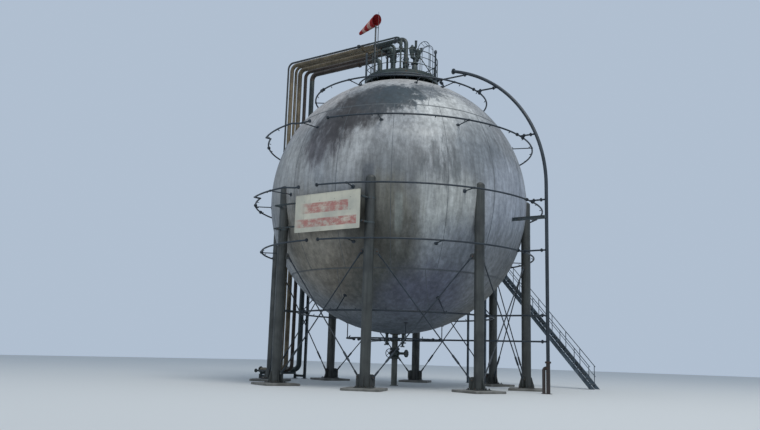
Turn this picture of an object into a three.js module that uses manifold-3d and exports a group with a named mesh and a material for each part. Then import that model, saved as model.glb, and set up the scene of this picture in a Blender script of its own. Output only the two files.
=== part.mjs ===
// Storage sphere for liquefied gas: a welded steel shell on eight tubular legs with crossed tie rods,
// water-spray rings, pipework over the crown, a top platform, access stairs, a sign and a windsock.
// Millimetres, +Z up. The legs stand on the ground at z = 0. Azimuths are in degrees, seen from above:
// 0 is the front, -Y, and 90 is +X.
import * as THREE from 'three';
import { mergeVertices } from 'three/addons/utils/BufferGeometryUtils.js';
import Module from 'manifold-3d';

const wasm = await Module();
wasm.setup();
const { Manifold, Mesh } = wasm;

// Clear gap between pieces that rest on each other
const GAP = 0.3;

// Shell: outside radius, plate, height of its centre, facets
const SHELL_RADIUS = 6190;
const SHELL_PLATE = 44;
const CENTRE_HEIGHT = 8600;
const SHELL_SIDES = 36;
const BELT_ANGLE = 35.5;
const SHELL_STEP = BELT_ANGLE / 3;
const MANHOLE_RADIUS = 250;
const DRAIN_RADIUS = 150;

// Legs: pipe columns that meet the shell near its equator, on a plate with gussets, on a concrete pad
const LEG_COUNT = 8;
const LEG_CIRCLE = 6150;
const LEG_RADIUS = 213;
const LEG_TOP = 8750;
const LEG_SIDES = 12;
const PAD_SIZE = 1580;
const PAD_HEIGHT = 100;
const BASE_PLATE = 730;
const BASE_PLATE_THICK = 32;
const GUSSET_HEIGHT = 480;
const GUSSET_THICK = 20;

// Tie rods: crossed between neighbouring legs, one on each face of the lugs
const ROD_RADIUS = 28;
const ROD_REACH = 330;
const ROD_TOP = 5560;
const ROD_FOOT = 500;
const LUG_THICK = 24;
const LUG_LENGTH = 420;
const LUG_HEIGHT = 260;
const FOOT_LUG_HEIGHT = 500;

// Spray rings: the pipe, and of each ring its height, its radius, where its front is split and how far,
// the azimuths of its arms, and on two rings the stretch that stands out further
const SPRAY_RADIUS = 38;
const SPRAY_FLANGE = 80;
const SPRAY_STEP = 12;
const BACK_SPLIT = 200;
const BACK_HALF_GAP = 2.2;
const OUT_EASE = 3;
const RINGS = {
  ring_2: { height: 13800, radius: 4280, split: -28.1, halfGap: 1.5, arms: [-1, 45, 68, 140, 215, 260, 305] },
  ring_3: {
    height: 11290,
    radius: 6480,
    split: 0.4,
    halfGap: 4.4,
    arms: [25, 60, 109, 140, 215, 262, 352],
    out: { from: 324, to: 348, reach: 6720 },
  },
  ring_4: {
    height: 8270,
    radius: 6930,
    split: -0.2,
    halfGap: 4.1,
    arms: [15.4, 60, 130, 215, 265, 310, 343],
    out: { from: 329, to: 351, reach: 7240 },
  },
  ring_5: { height: 6050, radius: 6520, split: 0.2, halfGap: 2.6, arms: [14.4, 50, 130, 215, 265, 310] },
};
const LOW_RING = { height: 3250, radius: 4650, arms: [-120, -60, 0, 60, 120, 175] };
const BOTTOM_RING = { height: 2150, radius: 2300, arms: [-135, -45, 45, 135] };
const TOP_RING = { height: 14730, radius: 2150 };
const ARM_RADIUS = 26;
const ARM_SUNK = 40;

// Standpipe with its spray head on the top ring
const STANDPIPE = { azimuth: 83, radius: 40, top: 16200, headRadius: 75, headHeight: 130 };

// Risers that feed the spray rings, and their arc over the shell
const RISER_AZIMUTHS = { right: 90, left: -135 };
const RISER_RADIUS = 76;
const RISER_REACH = 7700;
const RISER_FOOT_RADIUS = 105;
const RISER_FOOT_TOP = 1500;
const RISER_ARC = { reach: 1350, height: 8900, endAngle: 74.9 };
const RISER_BEAM_HEIGHT = 7500;
const RISER_BEAM = 150;

// Vapour and liquid lines: a row of pipes from the crown over the side and down to the ground. The first
// two start on the manhole's cover, the others start at nozzles in the shell. Their inner faces lie on one
// plane beside the shell, and the undersides of their ends on one level near the ground
const LINES = [
  { name: 'vapour_line_1', y: -170, radius: 50, drop: 20, height: 17450, joint: -2650 },
  { name: 'vapour_line_2', y: 200, radius: 110, drop: 100, height: 17450, joint: -2650, bonnet: 60 },
  { name: 'vapour_line_3', y: 520, radius: 80, drop: -825, height: 17450, joint: -2650, bonnet: 0 },
  { name: 'vapour_line_4', y: 920, radius: 125, drop: -1180, height: 17450, joint: -2650, bonnet: 0 },
  { name: 'vapour_line_5', y: 1390, radius: 100, drop: -655, height: 17450, joint: -2650, bonnet: 0 },
  { name: 'liquid_line_6', y: 2030, radius: 140, drop: -2790, height: 17530, joint: -4200 },
];
const LINE_INNER = 7500;
const LINE_UNDER = 350;
const LINE_FLANGE = 50;
const NOZZLE_RISE = 900;
const VALVE = { low: 60, high: 400, bonnet: 420, bonnetRadius: 45 };
const LINE_BEND = 330;
const LINE_END = 8750;
const LINE_SIDES = 8;
const RACK_HEIGHTS = [3600, 8600];
const RACK_BAR = 120;

// Cover of the manhole
const COVER_TOP = CENTRE_HEIGHT + SHELL_RADIUS + 445;
const COVER_THICK = 90;

// Header of the relief valves on the crown, with the isolating valve under it
const RELIEF = { x: 830, y: -100, radius: 90, rise: 1120, stacks: [400, 200] };
const RELIEF_STOP = { low: 260, high: 840, radius: 140 };

// Top platform
const DECK_HEIGHT = 14980;
const DECK_RADIUS = 1870;
const DECK_PLATE = 40;
const SKIRT_HEIGHT = 330;
const SKIRT_PLATE = 40;
const DECK_SIDES = 24;
const RAIL_HEIGHT = 1150;
const RAIL_BAR = 42;
const TOE_HEIGHT = 110;
const GATE_HALF_WIDTH = 420;

// Access: a straight flight to a landing, then an arched ladder stair over the shell
const STAIR_Y = 8000;
const STAIR_WIDTH = 750;
const STAIR_FOOT_X = 6900;
const LANDING_X = 600;
const LANDING_HEIGHT = 7300;
const LANDING_INNER = 7250;
const STEP_COUNT = 28;
const STRINGER_DEPTH = 200;
const STRINGER_THICK = 12;
const TREAD_THICK = 30;
const STAIR_RAIL_HEIGHT = 1000;
const ARCH_CENTRE_Y = 890;
const ARCH_CENTRE_Z = 8430;
const ARCH_RADIUS = 6660;
const ARCH_END = 80.5;
const ARCH_WIDTH = 640;
const ARCH_STEPS = 28;
const ARCH_RAIL_RADIUS = ARCH_RADIUS + 900;
const ARCH_RAIL_START = 12;

// Hoops of the cage over the stair's arrival at the platform
const CAGE = [{ y: 2050, top: 17970 }, { y: 2450, top: 17880 }];
const CAGE_X = 20;
const CAGE_HALF_WIDTH = 340;
const CAGE_BAR = 20;

// Sign board between two legs
const SIGN_LEFT = -1150;
const SIGN_RIGHT = 2300;
const SIGN_BOTTOM = 6430;
const SIGN_TOP = 8050;
const SIGN_Y = -6300;
const SIGN_PLATE = 30;

// Windsock, its mast and the thin pole beside the mast
const MAST_X = -1250;
const MAST_Y = -640;
const MAST_RADIUS = 42;
const MAST_TOP = 18140;
const MAST_SLEEVE_RADIUS = 60;
const MAST_SLEEVE_TOP = 16900;
const POLE_X = MAST_X + 110;
const POLE_Y = MAST_Y + 75;
const POLE_RADIUS = 20;
const POLE_FOOT = 16300;
const POLE_TOP = 18900;
const SOCK_MOUTH_RADIUS = 300;
const SOCK_TAIL_RADIUS = 95;
const SOCK_REACH = 1330;
const SOCK_DROOP = 14;
const SOCK_LEAN = 20;
const SOCK_HEIGHT = 18500;
const SOCK_OFFSET = 150;
const SOCK_DIRECTION = -105;
const SLEEVE_LOW = SOCK_HEIGHT - 190;
const SLEEVE_HIGH = SOCK_HEIGHT + 190;

// Colours
const SILVER = [0x8f9290, 0.55, 0.6];
const SLATE = [0x39474b, 0.7, 0.2];
const NAVY = [0x1f2a33, 0.6, 0.3];
const OLIVE = [0x6b6a55, 0.6, 0.3];
const GREEN_GREY = [0x3d4a48, 0.7, 0.3];
const BLUE_GREY = [0x53616b, 0.7, 0.3];
const CREAM = [0xe6dfc8, 0.6, 0.0];
const CONCRETE_STEEL = [0x4a5354, 0.8, 0.1];
const RED = [0xa92f2b, 0.9, 0.0];

const radians = THREE.MathUtils.degToRad;
const vec = (x, y, z) => new THREE.Vector3(x, y, z);
const plant = new THREE.Group();

// A point at an azimuth, a distance from the tank's axis and a height
function around(azimuth, reach, height) {
  const a = radians(azimuth);
  return vec(reach * Math.sin(a), -reach * Math.cos(a), height);
}

// Radius of the shell's outside at a height
function shellReach(height) {
  return Math.sqrt(SHELL_RADIUS ** 2 - (height - CENTRE_HEIGHT) ** 2);
}

// Turns a closed three.js geometry into a solid whose faces point out
function solid(geometry) {
  const bare = geometry.clone();
  bare.deleteAttribute('normal');
  bare.deleteAttribute('uv');
  const merged = mergeVertices(bare, 1e-3);
  const points = merged.attributes.position.array;
  const faces = Array.from(merged.index.array);
  const kept = [];
  let volume = 0;
  const a = vec();
  const b = vec();
  const c = vec();
  for (let i = 0; i < faces.length; i += 3) {
    const [p, q, r] = faces.slice(i, i + 3);
    if (p === q || q === r || r === p) continue;
    kept.push(p, q, r);
    a.fromArray(points, 3 * p);
    b.fromArray(points, 3 * q);
    c.fromArray(points, 3 * r);
    volume += a.dot(b.cross(c));
  }
  const triVerts = Uint32Array.from(volume < 0 ? kept.reverse() : kept);
  return new Manifold(new Mesh({ numProp: 3, vertProperties: Float32Array.from(points), triVerts }));
}

function join(...solids) {
  return Manifold.union(solids.flat());
}

function piece(name, shape, [color, roughness, metalness]) {
  const mesh = shape.getMesh();
  const geometry = new THREE.BufferGeometry();
  geometry.setAttribute('position', new THREE.BufferAttribute(Float32Array.from(mesh.vertProperties), 3));
  geometry.setIndex(Array.from(mesh.triVerts));
  geometry.computeVertexNormals();
  const material = new THREE.MeshStandardMaterial({ color, roughness, metalness, flatShading: true });
  const node = new THREE.Mesh(geometry, material);
  node.name = name;
  plant.add(node);
  return node;
}

// A box by its centre and size, turned about Z by an azimuth
function block(centre, size, azimuth = 0) {
  const geometry = new THREE.BoxGeometry(...size);
  geometry.rotateZ(radians(azimuth));
  geometry.translate(centre.x, centre.y, centre.z);
  return solid(geometry);
}

// A straight round bar between two points; with few sides, one flat faces the given direction
function bar(from, to, radius, sides = 4, facing = null) {
  const along = to.clone().sub(from);
  const length = along.length();
  along.normalize();
  const side = facing ? facing.clone() : (Math.abs(along.z) > 0.9 ? vec(1, 0, 0) : vec(0, 0, 1));
  side.addScaledVector(along, -side.dot(along)).normalize();
  const geometry = new THREE.CylinderGeometry(radius, radius, length, sides);
  geometry.applyMatrix4(new THREE.Matrix4().makeBasis(side, along, side.clone().cross(along)));
  const middle = from.clone().add(to).multiplyScalar(0.5);
  geometry.translate(middle.x, middle.y, middle.z);
  return solid(geometry);
}

// A flat disc or flange across a pipe
function flange(centre, direction, radius, thickness, sides = 8) {
  const half = direction.clone().normalize().multiplyScalar(thickness / 2);
  return bar(centre.clone().sub(half), centre.clone().add(half), radius, sides);
}

// A route through listed stations, so that a section is swept with one ring of corners at each station
class Route extends THREE.Curve {
  constructor(stations) {
    super();
    this.stations = stations;
  }
  getPointAt(u) {
    return this.stations[Math.round(u * (this.stations.length - 1))].clone();
  }
  getTangentAt(u) {
    const i = Math.round(u * (this.stations.length - 1));
    const before = this.stations[Math.max(i - 1, 0)];
    const here = this.stations[i];
    const after = this.stations[Math.min(i + 1, this.stations.length - 1)];
    const arriving = here.clone().sub(before).normalize();
    const leaving = after.clone().sub(here).normalize();
    return arriving.add(leaving).normalize();
  }
}

// A pipe of regular section along stations
function pipe(stations, radius, sides = 8) {
  const section = new THREE.Shape();
  for (let i = 0; i < sides; i += 1) {
    const a = (2 * Math.PI * (i + 0.5)) / sides;
    if (i === 0) section.moveTo(radius * Math.cos(a), radius * Math.sin(a));
    else section.lineTo(radius * Math.cos(a), radius * Math.sin(a));
  }
  section.closePath();
  const route = new Route(stations);
  const options = { steps: stations.length - 1, extrudePath: route, bevelEnabled: false };
  return solid(new THREE.ExtrudeGeometry(section, options));
}

// Stations of a route with round corners
function bent(points, bend, stepAngle = 30) {
  const stations = [points[0]];
  for (let i = 1; i < points.length - 1; i += 1) {
    const into = points[i].clone().sub(points[i - 1]).normalize();
    const out = points[i + 1].clone().sub(points[i]).normalize();
    const turn = Math.acos(THREE.MathUtils.clamp(into.dot(out), -1, 1));
    const start = points[i].clone().addScaledVector(into, -bend * Math.tan(turn / 2));
    const across = out.clone().addScaledVector(into, -into.dot(out)).normalize();
    const count = Math.max(2, Math.ceil(THREE.MathUtils.radToDeg(turn) / stepAngle));
    for (let k = 0; k <= count; k += 1) {
      const a = (turn * k) / count;
      const station = start.clone().addScaledVector(into, bend * Math.sin(a));
      stations.push(station.addScaledVector(across, bend * (1 - Math.cos(a))));
    }
  }
  stations.push(points[points.length - 1]);
  return stations;
}

// Stations on a level circle about the tank's axis
function circle(from, to, reach, height, step = SPRAY_STEP) {
  const count = Math.max(1, Math.round(Math.abs(to - from) / step));
  return Array.from({ length: count + 1 }, (_, i) => around(from + ((to - from) * i) / count, reach, height));
}

// A solid of revolution about the tank's axis from an outline of [reach, height] pairs
function turned(outline, sides) {
  const geometry = new THREE.LatheGeometry(outline.map(([x, y]) => new THREE.Vector2(x, y)), sides);
  geometry.rotateX(Math.PI / 2);
  return solid(geometry);
}

// Elevations of the shell's corners, from its drain to its manhole
const MANHOLE_ANGLE = THREE.MathUtils.radToDeg(Math.acos(MANHOLE_RADIUS / SHELL_RADIUS));
const DRAIN_ANGLE = THREE.MathUtils.radToDeg(Math.acos(DRAIN_RADIUS / SHELL_RADIUS));
const ELEVATIONS = [-DRAIN_ANGLE];
const STEPS_TO_MANHOLE = Math.floor(MANHOLE_ANGLE / SHELL_STEP);
for (let i = -STEPS_TO_MANHOLE; i <= STEPS_TO_MANHOLE; i += 1) ELEVATIONS.push(i * SHELL_STEP);
ELEVATIONS.push(MANHOLE_ANGLE);

// Corners of a meridian between two elevations, as [reach, height] pairs
function meridian(from, to, radius) {
  const between = ELEVATIONS.filter((angle) => angle > from + 0.1 && angle < to - 0.1);
  return [from, ...between, to].map((angle) => {
    const a = radians(angle);
    return [radius * Math.cos(a), CENTRE_HEIGHT + radius * Math.sin(a)];
  });
}

// The whole ball, a hair larger than the shell, that cuts what is fitted to it
function ball() {
  const outline = meridian(-DRAIN_ANGLE, MANHOLE_ANGLE, SHELL_RADIUS + GAP);
  const bottom = [0, outline[0][1]];
  const top = [0, outline[outline.length - 1][1]];
  return turned([bottom, ...outline, top], SHELL_SIDES);
}
const BALL = ball();

// One zone of the shell, a ring of plate between two elevations
function shellZone(from, to) {
  const trim = THREE.MathUtils.radToDeg(GAP / 2 / SHELL_RADIUS);
  const outer = meridian(from + trim, to - trim, SHELL_RADIUS);
  const inner = meridian(from + trim, to - trim, SHELL_RADIUS - SHELL_PLATE).reverse();
  return turned([...outer, ...inner, outer[0]], SHELL_SIDES);
}

function shell() {
  piece('shell_top_crown', shellZone(BELT_ANGLE, MANHOLE_ANGLE), SILVER);
  piece('shell_equator_belt', shellZone(-BELT_ANGLE, BELT_ANGLE), SILVER);
  piece('shell_bottom_crown', shellZone(-DRAIN_ANGLE, -BELT_ANGLE), SILVER);
}

function legAzimuth(index) {
  return 360 / LEG_COUNT * (index + 0.5);
}

// Direction from one leg towards its neighbour on the next or the former side
function towards(index, step) {
  const here = around(legAzimuth(index), LEG_CIRCLE, 0);
  return around(legAzimuth(index + step), LEG_CIRCLE, 0).sub(here).normalize();
}

// A lug plate on a leg, in the plane of a bay
function lug(index, step, height, tall = LUG_HEIGHT) {
  const along = towards(index, step);
  const centre = around(legAzimuth(index), LEG_CIRCLE, height).addScaledVector(along, LUG_LENGTH / 2);
  const azimuth = THREE.MathUtils.radToDeg(Math.atan2(along.y, along.x));
  return block(centre, [LUG_LENGTH, LUG_THICK, tall], azimuth);
}

function leg(index) {
  const azimuth = legAzimuth(index);
  const plateTop = PAD_HEIGHT + BASE_PLATE_THICK;
  const gussetMiddle = around(azimuth, LEG_CIRCLE, plateTop + GUSSET_HEIGHT / 2 - 2);
  const column = bar(
    around(azimuth, LEG_CIRCLE, PAD_HEIGHT),
    around(azimuth, LEG_CIRCLE, LEG_TOP),
    LEG_RADIUS,
    LEG_SIDES,
    around(azimuth, 1, 0),
  );
  const parts = [
    column,
    block(around(azimuth, LEG_CIRCLE, PAD_HEIGHT / 2), [PAD_SIZE, PAD_SIZE, PAD_HEIGHT], azimuth),
    block(
      around(azimuth, LEG_CIRCLE, PAD_HEIGHT + BASE_PLATE_THICK / 2 - 1),
      [BASE_PLATE, BASE_PLATE, BASE_PLATE_THICK + 2],
      azimuth,
    ),
    block(gussetMiddle, [BASE_PLATE - 20, GUSSET_THICK, GUSSET_HEIGHT], azimuth),
    block(gussetMiddle, [GUSSET_THICK, BASE_PLATE - 20, GUSSET_HEIGHT], azimuth),
  ];
  const footLugMiddle = plateTop + FOOT_LUG_HEIGHT / 2 - 2;
  for (const step of [-1, 1]) {
    parts.push(lug(index, step, ROD_TOP), lug(index, step, footLugMiddle, FOOT_LUG_HEIGHT));
  }
  piece(`leg_${index + 1}`, join(parts).subtract(BALL), CONCRETE_STEEL);
}

// The two crossed tie rods of a bay, the rising one outside and the falling one inside of the lugs
function tieRods(index) {
  const next = (index + 1) % LEG_COUNT;
  const along = towards(index, 1);
  const outward = vec(along.y, -along.x, 0);
  const apothem = ROD_RADIUS * Math.cos(Math.PI / 6);
  const off = LUG_THICK / 2 + apothem + GAP;
  const ends = (low, high) => {
    const near = around(legAzimuth(index), LEG_CIRCLE, low).addScaledVector(along, ROD_REACH);
    const far = around(legAzimuth(next), LEG_CIRCLE, high).addScaledVector(along, -ROD_REACH);
    return [near, far];
  };
  const rising = ends(ROD_FOOT, ROD_TOP).map((p) => p.addScaledVector(outward, off));
  const falling = ends(ROD_TOP, ROD_FOOT).map((p) => p.addScaledVector(outward, -off));
  piece(`tie_rod_${index + 1}a`, bar(...rising, ROD_RADIUS, 6, outward), NAVY);
  piece(`tie_rod_${index + 1}b`, bar(...falling, ROD_RADIUS, 6, outward), NAVY);
}

// Level arm from a spray pipe to the shell beside it
function levelArm(azimuth, reach, height) {
  const inner = shellReach(height) - ARM_SUNK;
  return bar(around(azimuth, reach, height), around(azimuth, inner, height), ARM_RADIUS);
}

// Slanting arm from a spray pipe, square to the shell
function squareArm(azimuth, reach, height) {
  const out = around(azimuth, reach, height);
  const inward = vec(0, 0, CENTRE_HEIGHT).sub(out);
  const distance = inward.length() - SHELL_RADIUS + ARM_SUNK;
  return bar(out, out.clone().addScaledVector(inward.normalize(), distance), ARM_RADIUS);
}

// Upright hanger from the shell's bottom to a spray pipe below it
function hanger(azimuth, reach, height) {
  const top = CENTRE_HEIGHT - Math.sqrt(SHELL_RADIUS ** 2 - reach ** 2) + ARM_SUNK;
  return bar(around(azimuth, reach, height), around(azimuth, reach, top), ARM_RADIUS);
}

// Stations of a spray pipe on a level circle, one of them wherever a riser feeds it
function fedCircle(from, to, reach, height, step = SPRAY_STEP) {
  const fed = [RISER_AZIMUTHS.right, RISER_AZIMUTHS.left + 360];
  const marks = [from, ...fed.filter((azimuth) => azimuth > from && azimuth < to), to];
  return marks.slice(1).flatMap((mark, i) => circle(marks[i], mark, reach, height, step).slice(i ? 1 : 0));
}

// Stations of half a spray ring, with the stretch that stands out where it has one
function sprayStations({ height, radius, out }, from, to) {
  if (!out || to < out.to) return fedCircle(from, to, radius, height);
  return [
    ...fedCircle(from, out.from - 1, radius, height),
    ...circle(out.from, out.to, out.reach, height),
    ...circle(out.to + OUT_EASE, to, radius, height),
  ];
}

// Half of a spray ring with its flanged ends and arms
function sprayHalf(name, ring, from, to) {
  const { height, radius, arms, out } = ring;
  const stations = sprayStations(ring, from, to);
  const first = stations[1].clone().sub(stations[0]);
  const last = stations[stations.length - 1].clone().sub(stations[stations.length - 2]);
  const inside = arms.filter((azimuth) => azimuth > from && azimuth < to);
  const reachAt = (azimuth) => (out && azimuth > out.from && azimuth < out.to ? out.reach : radius);
  const parts = [
    pipe(stations, SPRAY_RADIUS, 6),
    flange(stations[0], first, SPRAY_FLANGE, 30, 8),
    flange(stations[stations.length - 1], last, SPRAY_FLANGE, 30, 8),
    ...inside.map((azimuth) => levelArm(azimuth, reachAt(azimuth), height)),
  ];
  piece(name, join(parts).subtract(BALL), NAVY);
}

function sprayRings() {
  for (const [name, ring] of Object.entries(RINGS)) {
    sprayHalf(`${name}_right`, ring, ring.split + ring.halfGap, BACK_SPLIT - BACK_HALF_GAP);
    sprayHalf(`${name}_left`, ring, BACK_SPLIT + BACK_HALF_GAP, ring.split + 360 - ring.halfGap);
  }
  const low = [pipe(fedCircle(-30, 325, LOW_RING.radius, LOW_RING.height), SPRAY_RADIUS, 6)];
  low.push(...LOW_RING.arms.map((azimuth) => squareArm(azimuth, LOW_RING.radius, LOW_RING.height)));
  piece('ring_6', join(low).subtract(BALL), NAVY);
  const bottom = [pipe(fedCircle(-85, 265, BOTTOM_RING.radius, BOTTOM_RING.height, 20), SPRAY_RADIUS, 6)];
  bottom.push(...BOTTOM_RING.arms.map((azimuth) => hanger(azimuth, BOTTOM_RING.radius, BOTTOM_RING.height)));
  piece('ring_7', join(bottom).subtract(BALL), NAVY);
}

// A feed pipe from a riser to a ring, ending just short of the ring's pipe
function feed(azimuth, from, ringReach, height) {
  const end = ringReach + SPRAY_RADIUS + GAP;
  const near = around(azimuth, end + 150, height);
  return join(
    bar(around(azimuth, from, height), around(azimuth, end, height), SPRAY_RADIUS, 6),
    flange(near, around(azimuth, 1, 0), SPRAY_FLANGE, 50, 8),
  );
}

// Reach of the riser's centre line at a height
function riserReach(height) {
  if (height <= RISER_ARC.height) return RISER_REACH;
  const radius = RISER_REACH - RISER_ARC.reach;
  return RISER_ARC.reach + Math.sqrt(radius ** 2 - (height - RISER_ARC.height) ** 2);
}

// A riser with its heavier foot, its feeds and the beam that holds it to the shell
function riser(azimuth) {
  const stations = [around(azimuth, RISER_REACH, 0)];
  const count = 10;
  const radius = RISER_REACH - RISER_ARC.reach;
  for (let i = 0; i <= count; i += 1) {
    const a = radians((RISER_ARC.endAngle * i) / count);
    stations.push(around(azimuth, RISER_ARC.reach + radius * Math.cos(a), RISER_ARC.height + radius * Math.sin(a)));
  }
  const end = stations[stations.length - 1];
  const slope = end.clone().sub(stations[stations.length - 2]);
  const footTop = around(azimuth, RISER_REACH, RISER_FOOT_TOP);
  const parts = [
    pipe(stations, RISER_RADIUS, 8),
    bar(stations[0], footTop, RISER_FOOT_RADIUS, 8),
    flange(footTop, vec(0, 0, 1), 170, 60),
    flange(end, slope, 150, 60),
  ];
  for (const ring of [...Object.values(RINGS), LOW_RING, BOTTOM_RING]) {
    parts.push(feed(azimuth, riserReach(ring.height), ring.radius, ring.height));
  }
  const beamInner = shellReach(RISER_BEAM_HEIGHT) - 60;
  const beamMiddle = around(azimuth, (beamInner + RISER_REACH) / 2, RISER_BEAM_HEIGHT);
  parts.push(block(beamMiddle, [RISER_REACH - beamInner, RISER_BEAM / 2, RISER_BEAM], azimuth - 90));
  return parts;
}

function risers() {
  const right = riser(RISER_AZIMUTHS.right);
  const { radius, height } = TOP_RING;
  const start = RISER_AZIMUTHS.right;
  right.push(pipe(circle(start, start - 348, radius, height, 18), SPRAY_RADIUS, 6));
  right.push(bar(around(start, riserReach(height), height), around(start, radius, height), SPRAY_RADIUS, 6));
  right.push(...[80, 170, 260, 350].map((azimuth) => squareArm(azimuth, radius, height)));
  const standAt = (level) => around(STANDPIPE.azimuth, radius, level);
  const { top, headHeight } = STANDPIPE;
  right.push(bar(standAt(height), standAt(top), STANDPIPE.radius, 6));
  right.push(bar(standAt(top - headHeight), standAt(top), STANDPIPE.headRadius, 6));
  piece('riser_right', join(right).subtract(BALL), NAVY);
  piece('riser_left', join(riser(RISER_AZIMUTHS.left)).subtract(BALL), NAVY);
}

// A valve above a nozzle's flange: its body, its upper flange and its bonnet, which points to an azimuth
function valve(foot, radius, azimuth) {
  const at = (rise) => foot.clone().add(vec(0, 0, rise));
  const middle = at((VALVE.low + VALVE.high) / 2);
  return join(
    bar(at(0), at(VALVE.high), radius + LINE_FLANGE - 10, 8),
    flange(at(VALVE.high), vec(0, 0, 1), radius + LINE_FLANGE, 90),
    bar(middle, middle.clone().add(around(azimuth, VALVE.bonnet, 0)), VALVE.bonnetRadius, 8),
  );
}

// Pipes from the crown over the side and down to flanged ends near the ground
function lines() {
  for (const { name, y, radius, drop, height, joint, bonnet } of LINES) {
    const nozzle = Math.sqrt(SHELL_RADIUS ** 2 - drop ** 2 - y ** 2) + CENTRE_HEIGHT;
    const onCover = Math.hypot(drop, y) < MANHOLE_RADIUS;
    const down = -(LINE_INNER + radius);
    const foot = LINE_UNDER + radius;
    const points = [
      vec(drop, y, onCover ? COVER_TOP + GAP : CENTRE_HEIGHT),
      vec(drop, y, height),
      vec(down, y, height),
      vec(down, y, foot),
      vec(-LINE_END, y, foot),
    ];
    const parts = [
      pipe(bent(points, LINE_BEND), radius, LINE_SIDES),
      flange(vec(-LINE_END, y, foot), vec(1, 0, 0), radius + LINE_FLANGE, 50),
      flange(vec(drop, y, nozzle + NOZZLE_RISE), vec(0, 0, 1), radius + LINE_FLANGE, 90),
      flange(vec(joint, y, height), vec(1, 0, 0), radius + LINE_FLANGE, 90),
    ];
    if (bonnet !== undefined) parts.push(valve(vec(drop, y, nozzle + NOZZLE_RISE), radius, bonnet));
    piece(name, join(parts).subtract(BALL), OLIVE);
  }
}

// Frame that holds the downcomers to the shell, with the sleeper under their ends
function lineRack() {
  const first = LINES[0].y - 350;
  const last = LINES[LINES.length - 1].y + 350;
  const middle = (first + last) / 2;
  const x = -(LINE_INNER - RACK_BAR / 2 - GAP);
  const sleeperX = -(LINE_INNER + LINE_END) / 2;
  const sleeperTop = LINE_UNDER - GAP;
  const parts = [block(vec(sleeperX, middle, sleeperTop - RACK_BAR / 2), [RACK_BAR, last - first, RACK_BAR])];
  for (const y of [first + RACK_BAR / 2, last - RACK_BAR / 2]) {
    const top = RACK_HEIGHTS[1] + RACK_BAR / 2;
    parts.push(block(vec(x, y, top / 2), [RACK_BAR, RACK_BAR, top]));
    parts.push(block(vec(sleeperX, y, sleeperTop / 2), [RACK_BAR, RACK_BAR, sleeperTop]));
    parts.push(block(vec((x + sleeperX) / 2, y, 150), [x - sleeperX, RACK_BAR, RACK_BAR]));
  }
  for (const height of RACK_HEIGHTS) {
    parts.push(block(vec(x, middle, height), [RACK_BAR, last - first, RACK_BAR]));
  }
  const tieHeight = RACK_HEIGHTS[1];
  for (const y of [first + 200, last - 330]) {
    const reach = Math.sqrt(shellReach(tieHeight) ** 2 - y ** 2) - 60;
    parts.push(block(vec((x - reach) / 2, y, tieHeight), [-x - reach, RACK_BAR, RACK_BAR]));
  }
  return parts;
}

// Round deck with its skirt, cut for the lines and the mast
function platform() {
  const low = DECK_HEIGHT - SKIRT_HEIGHT;
  const skirt = [
    [DECK_RADIUS - SKIRT_PLATE, low],
    [DECK_RADIUS, low],
    [DECK_RADIUS, DECK_HEIGHT],
    [MANHOLE_RADIUS + 120, DECK_HEIGHT],
    [MANHOLE_RADIUS + 120, DECK_HEIGHT - DECK_PLATE],
    [DECK_RADIUS - SKIRT_PLATE, DECK_HEIGHT - DECK_PLATE],
  ];
  let deck = turned([...skirt, skirt[0]], DECK_SIDES);
  const posts = [20, 65, 115, 150, 222, 258, 295, 340].map((azimuth) => (
    bar(around(azimuth, 1500, DECK_HEIGHT - 20), around(azimuth, 1500, CENTRE_HEIGHT + 5900), 40, 6)
  ));
  deck = join(deck, posts).subtract(BALL);
  for (const { x, y, radius } of [...LINES.map((line) => ({ ...line, x: line.drop })), RELIEF]) {
    const hole = radius + LINE_FLANGE;
    deck = deck.subtract(bar(vec(x, y, DECK_HEIGHT - 600), vec(x, y, DECK_HEIGHT + 200), hole, 8));
  }
  piece('platform_deck', deck, GREEN_GREY);
}

// Railing with posts, two rails and a toe plate, open at the back where the arched stair arrives
function platformRail() {
  const open = THREE.MathUtils.radToDeg(Math.asin(GATE_HALF_WIDTH / DECK_RADIUS));
  const reach = DECK_RADIUS - 60;
  const from = 180 + open;
  const to = 540 - open;
  const foot = DECK_HEIGHT + GAP;
  const parts = [
    pipe(circle(from, to, reach, foot + RAIL_HEIGHT - RAIL_BAR / 2, 18), RAIL_BAR / 2, 4),
    pipe(circle(from, to, reach, foot + RAIL_HEIGHT * 0.55, 18), RAIL_BAR / 2, 4),
  ];
  const posts = 9;
  for (let i = 0; i <= posts; i += 1) {
    const azimuth = from + ((to - from) * i) / posts;
    parts.push(bar(around(azimuth, reach, foot), around(azimuth, reach, foot + RAIL_HEIGHT - 10), RAIL_BAR / 2));
  }
  parts.push(bandAround(from, to, reach - 5, 10, foot, foot + TOE_HEIGHT, 18));
  piece('platform_railing', join(parts), GREEN_GREY);
}

// An upright band of plate bent along a level circle
function bandAround(from, to, reach, thickness, low, high, step) {
  const outline = [
    ...circle(from, to, reach + thickness / 2, 0, step),
    ...circle(to, from, reach - thickness / 2, 0, step),
  ];
  const shape = new THREE.Shape(outline.map((p) => new THREE.Vector2(p.x, p.y)));
  const geometry = new THREE.ExtrudeGeometry(shape, { depth: high - low, bevelEnabled: false });
  geometry.translate(0, 0, low);
  return solid(geometry);
}

// Sloping plate in a plane of constant y, from an outline of [x, z] pairs
function uprightPlate(outline, y, thickness) {
  const shape = new THREE.Shape(outline.map(([x, z]) => new THREE.Vector2(x, z)));
  const geometry = new THREE.ExtrudeGeometry(shape, { depth: thickness, bevelEnabled: false });
  geometry.rotateX(Math.PI / 2);
  geometry.translate(0, y + thickness / 2, 0);
  return solid(geometry);
}

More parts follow.
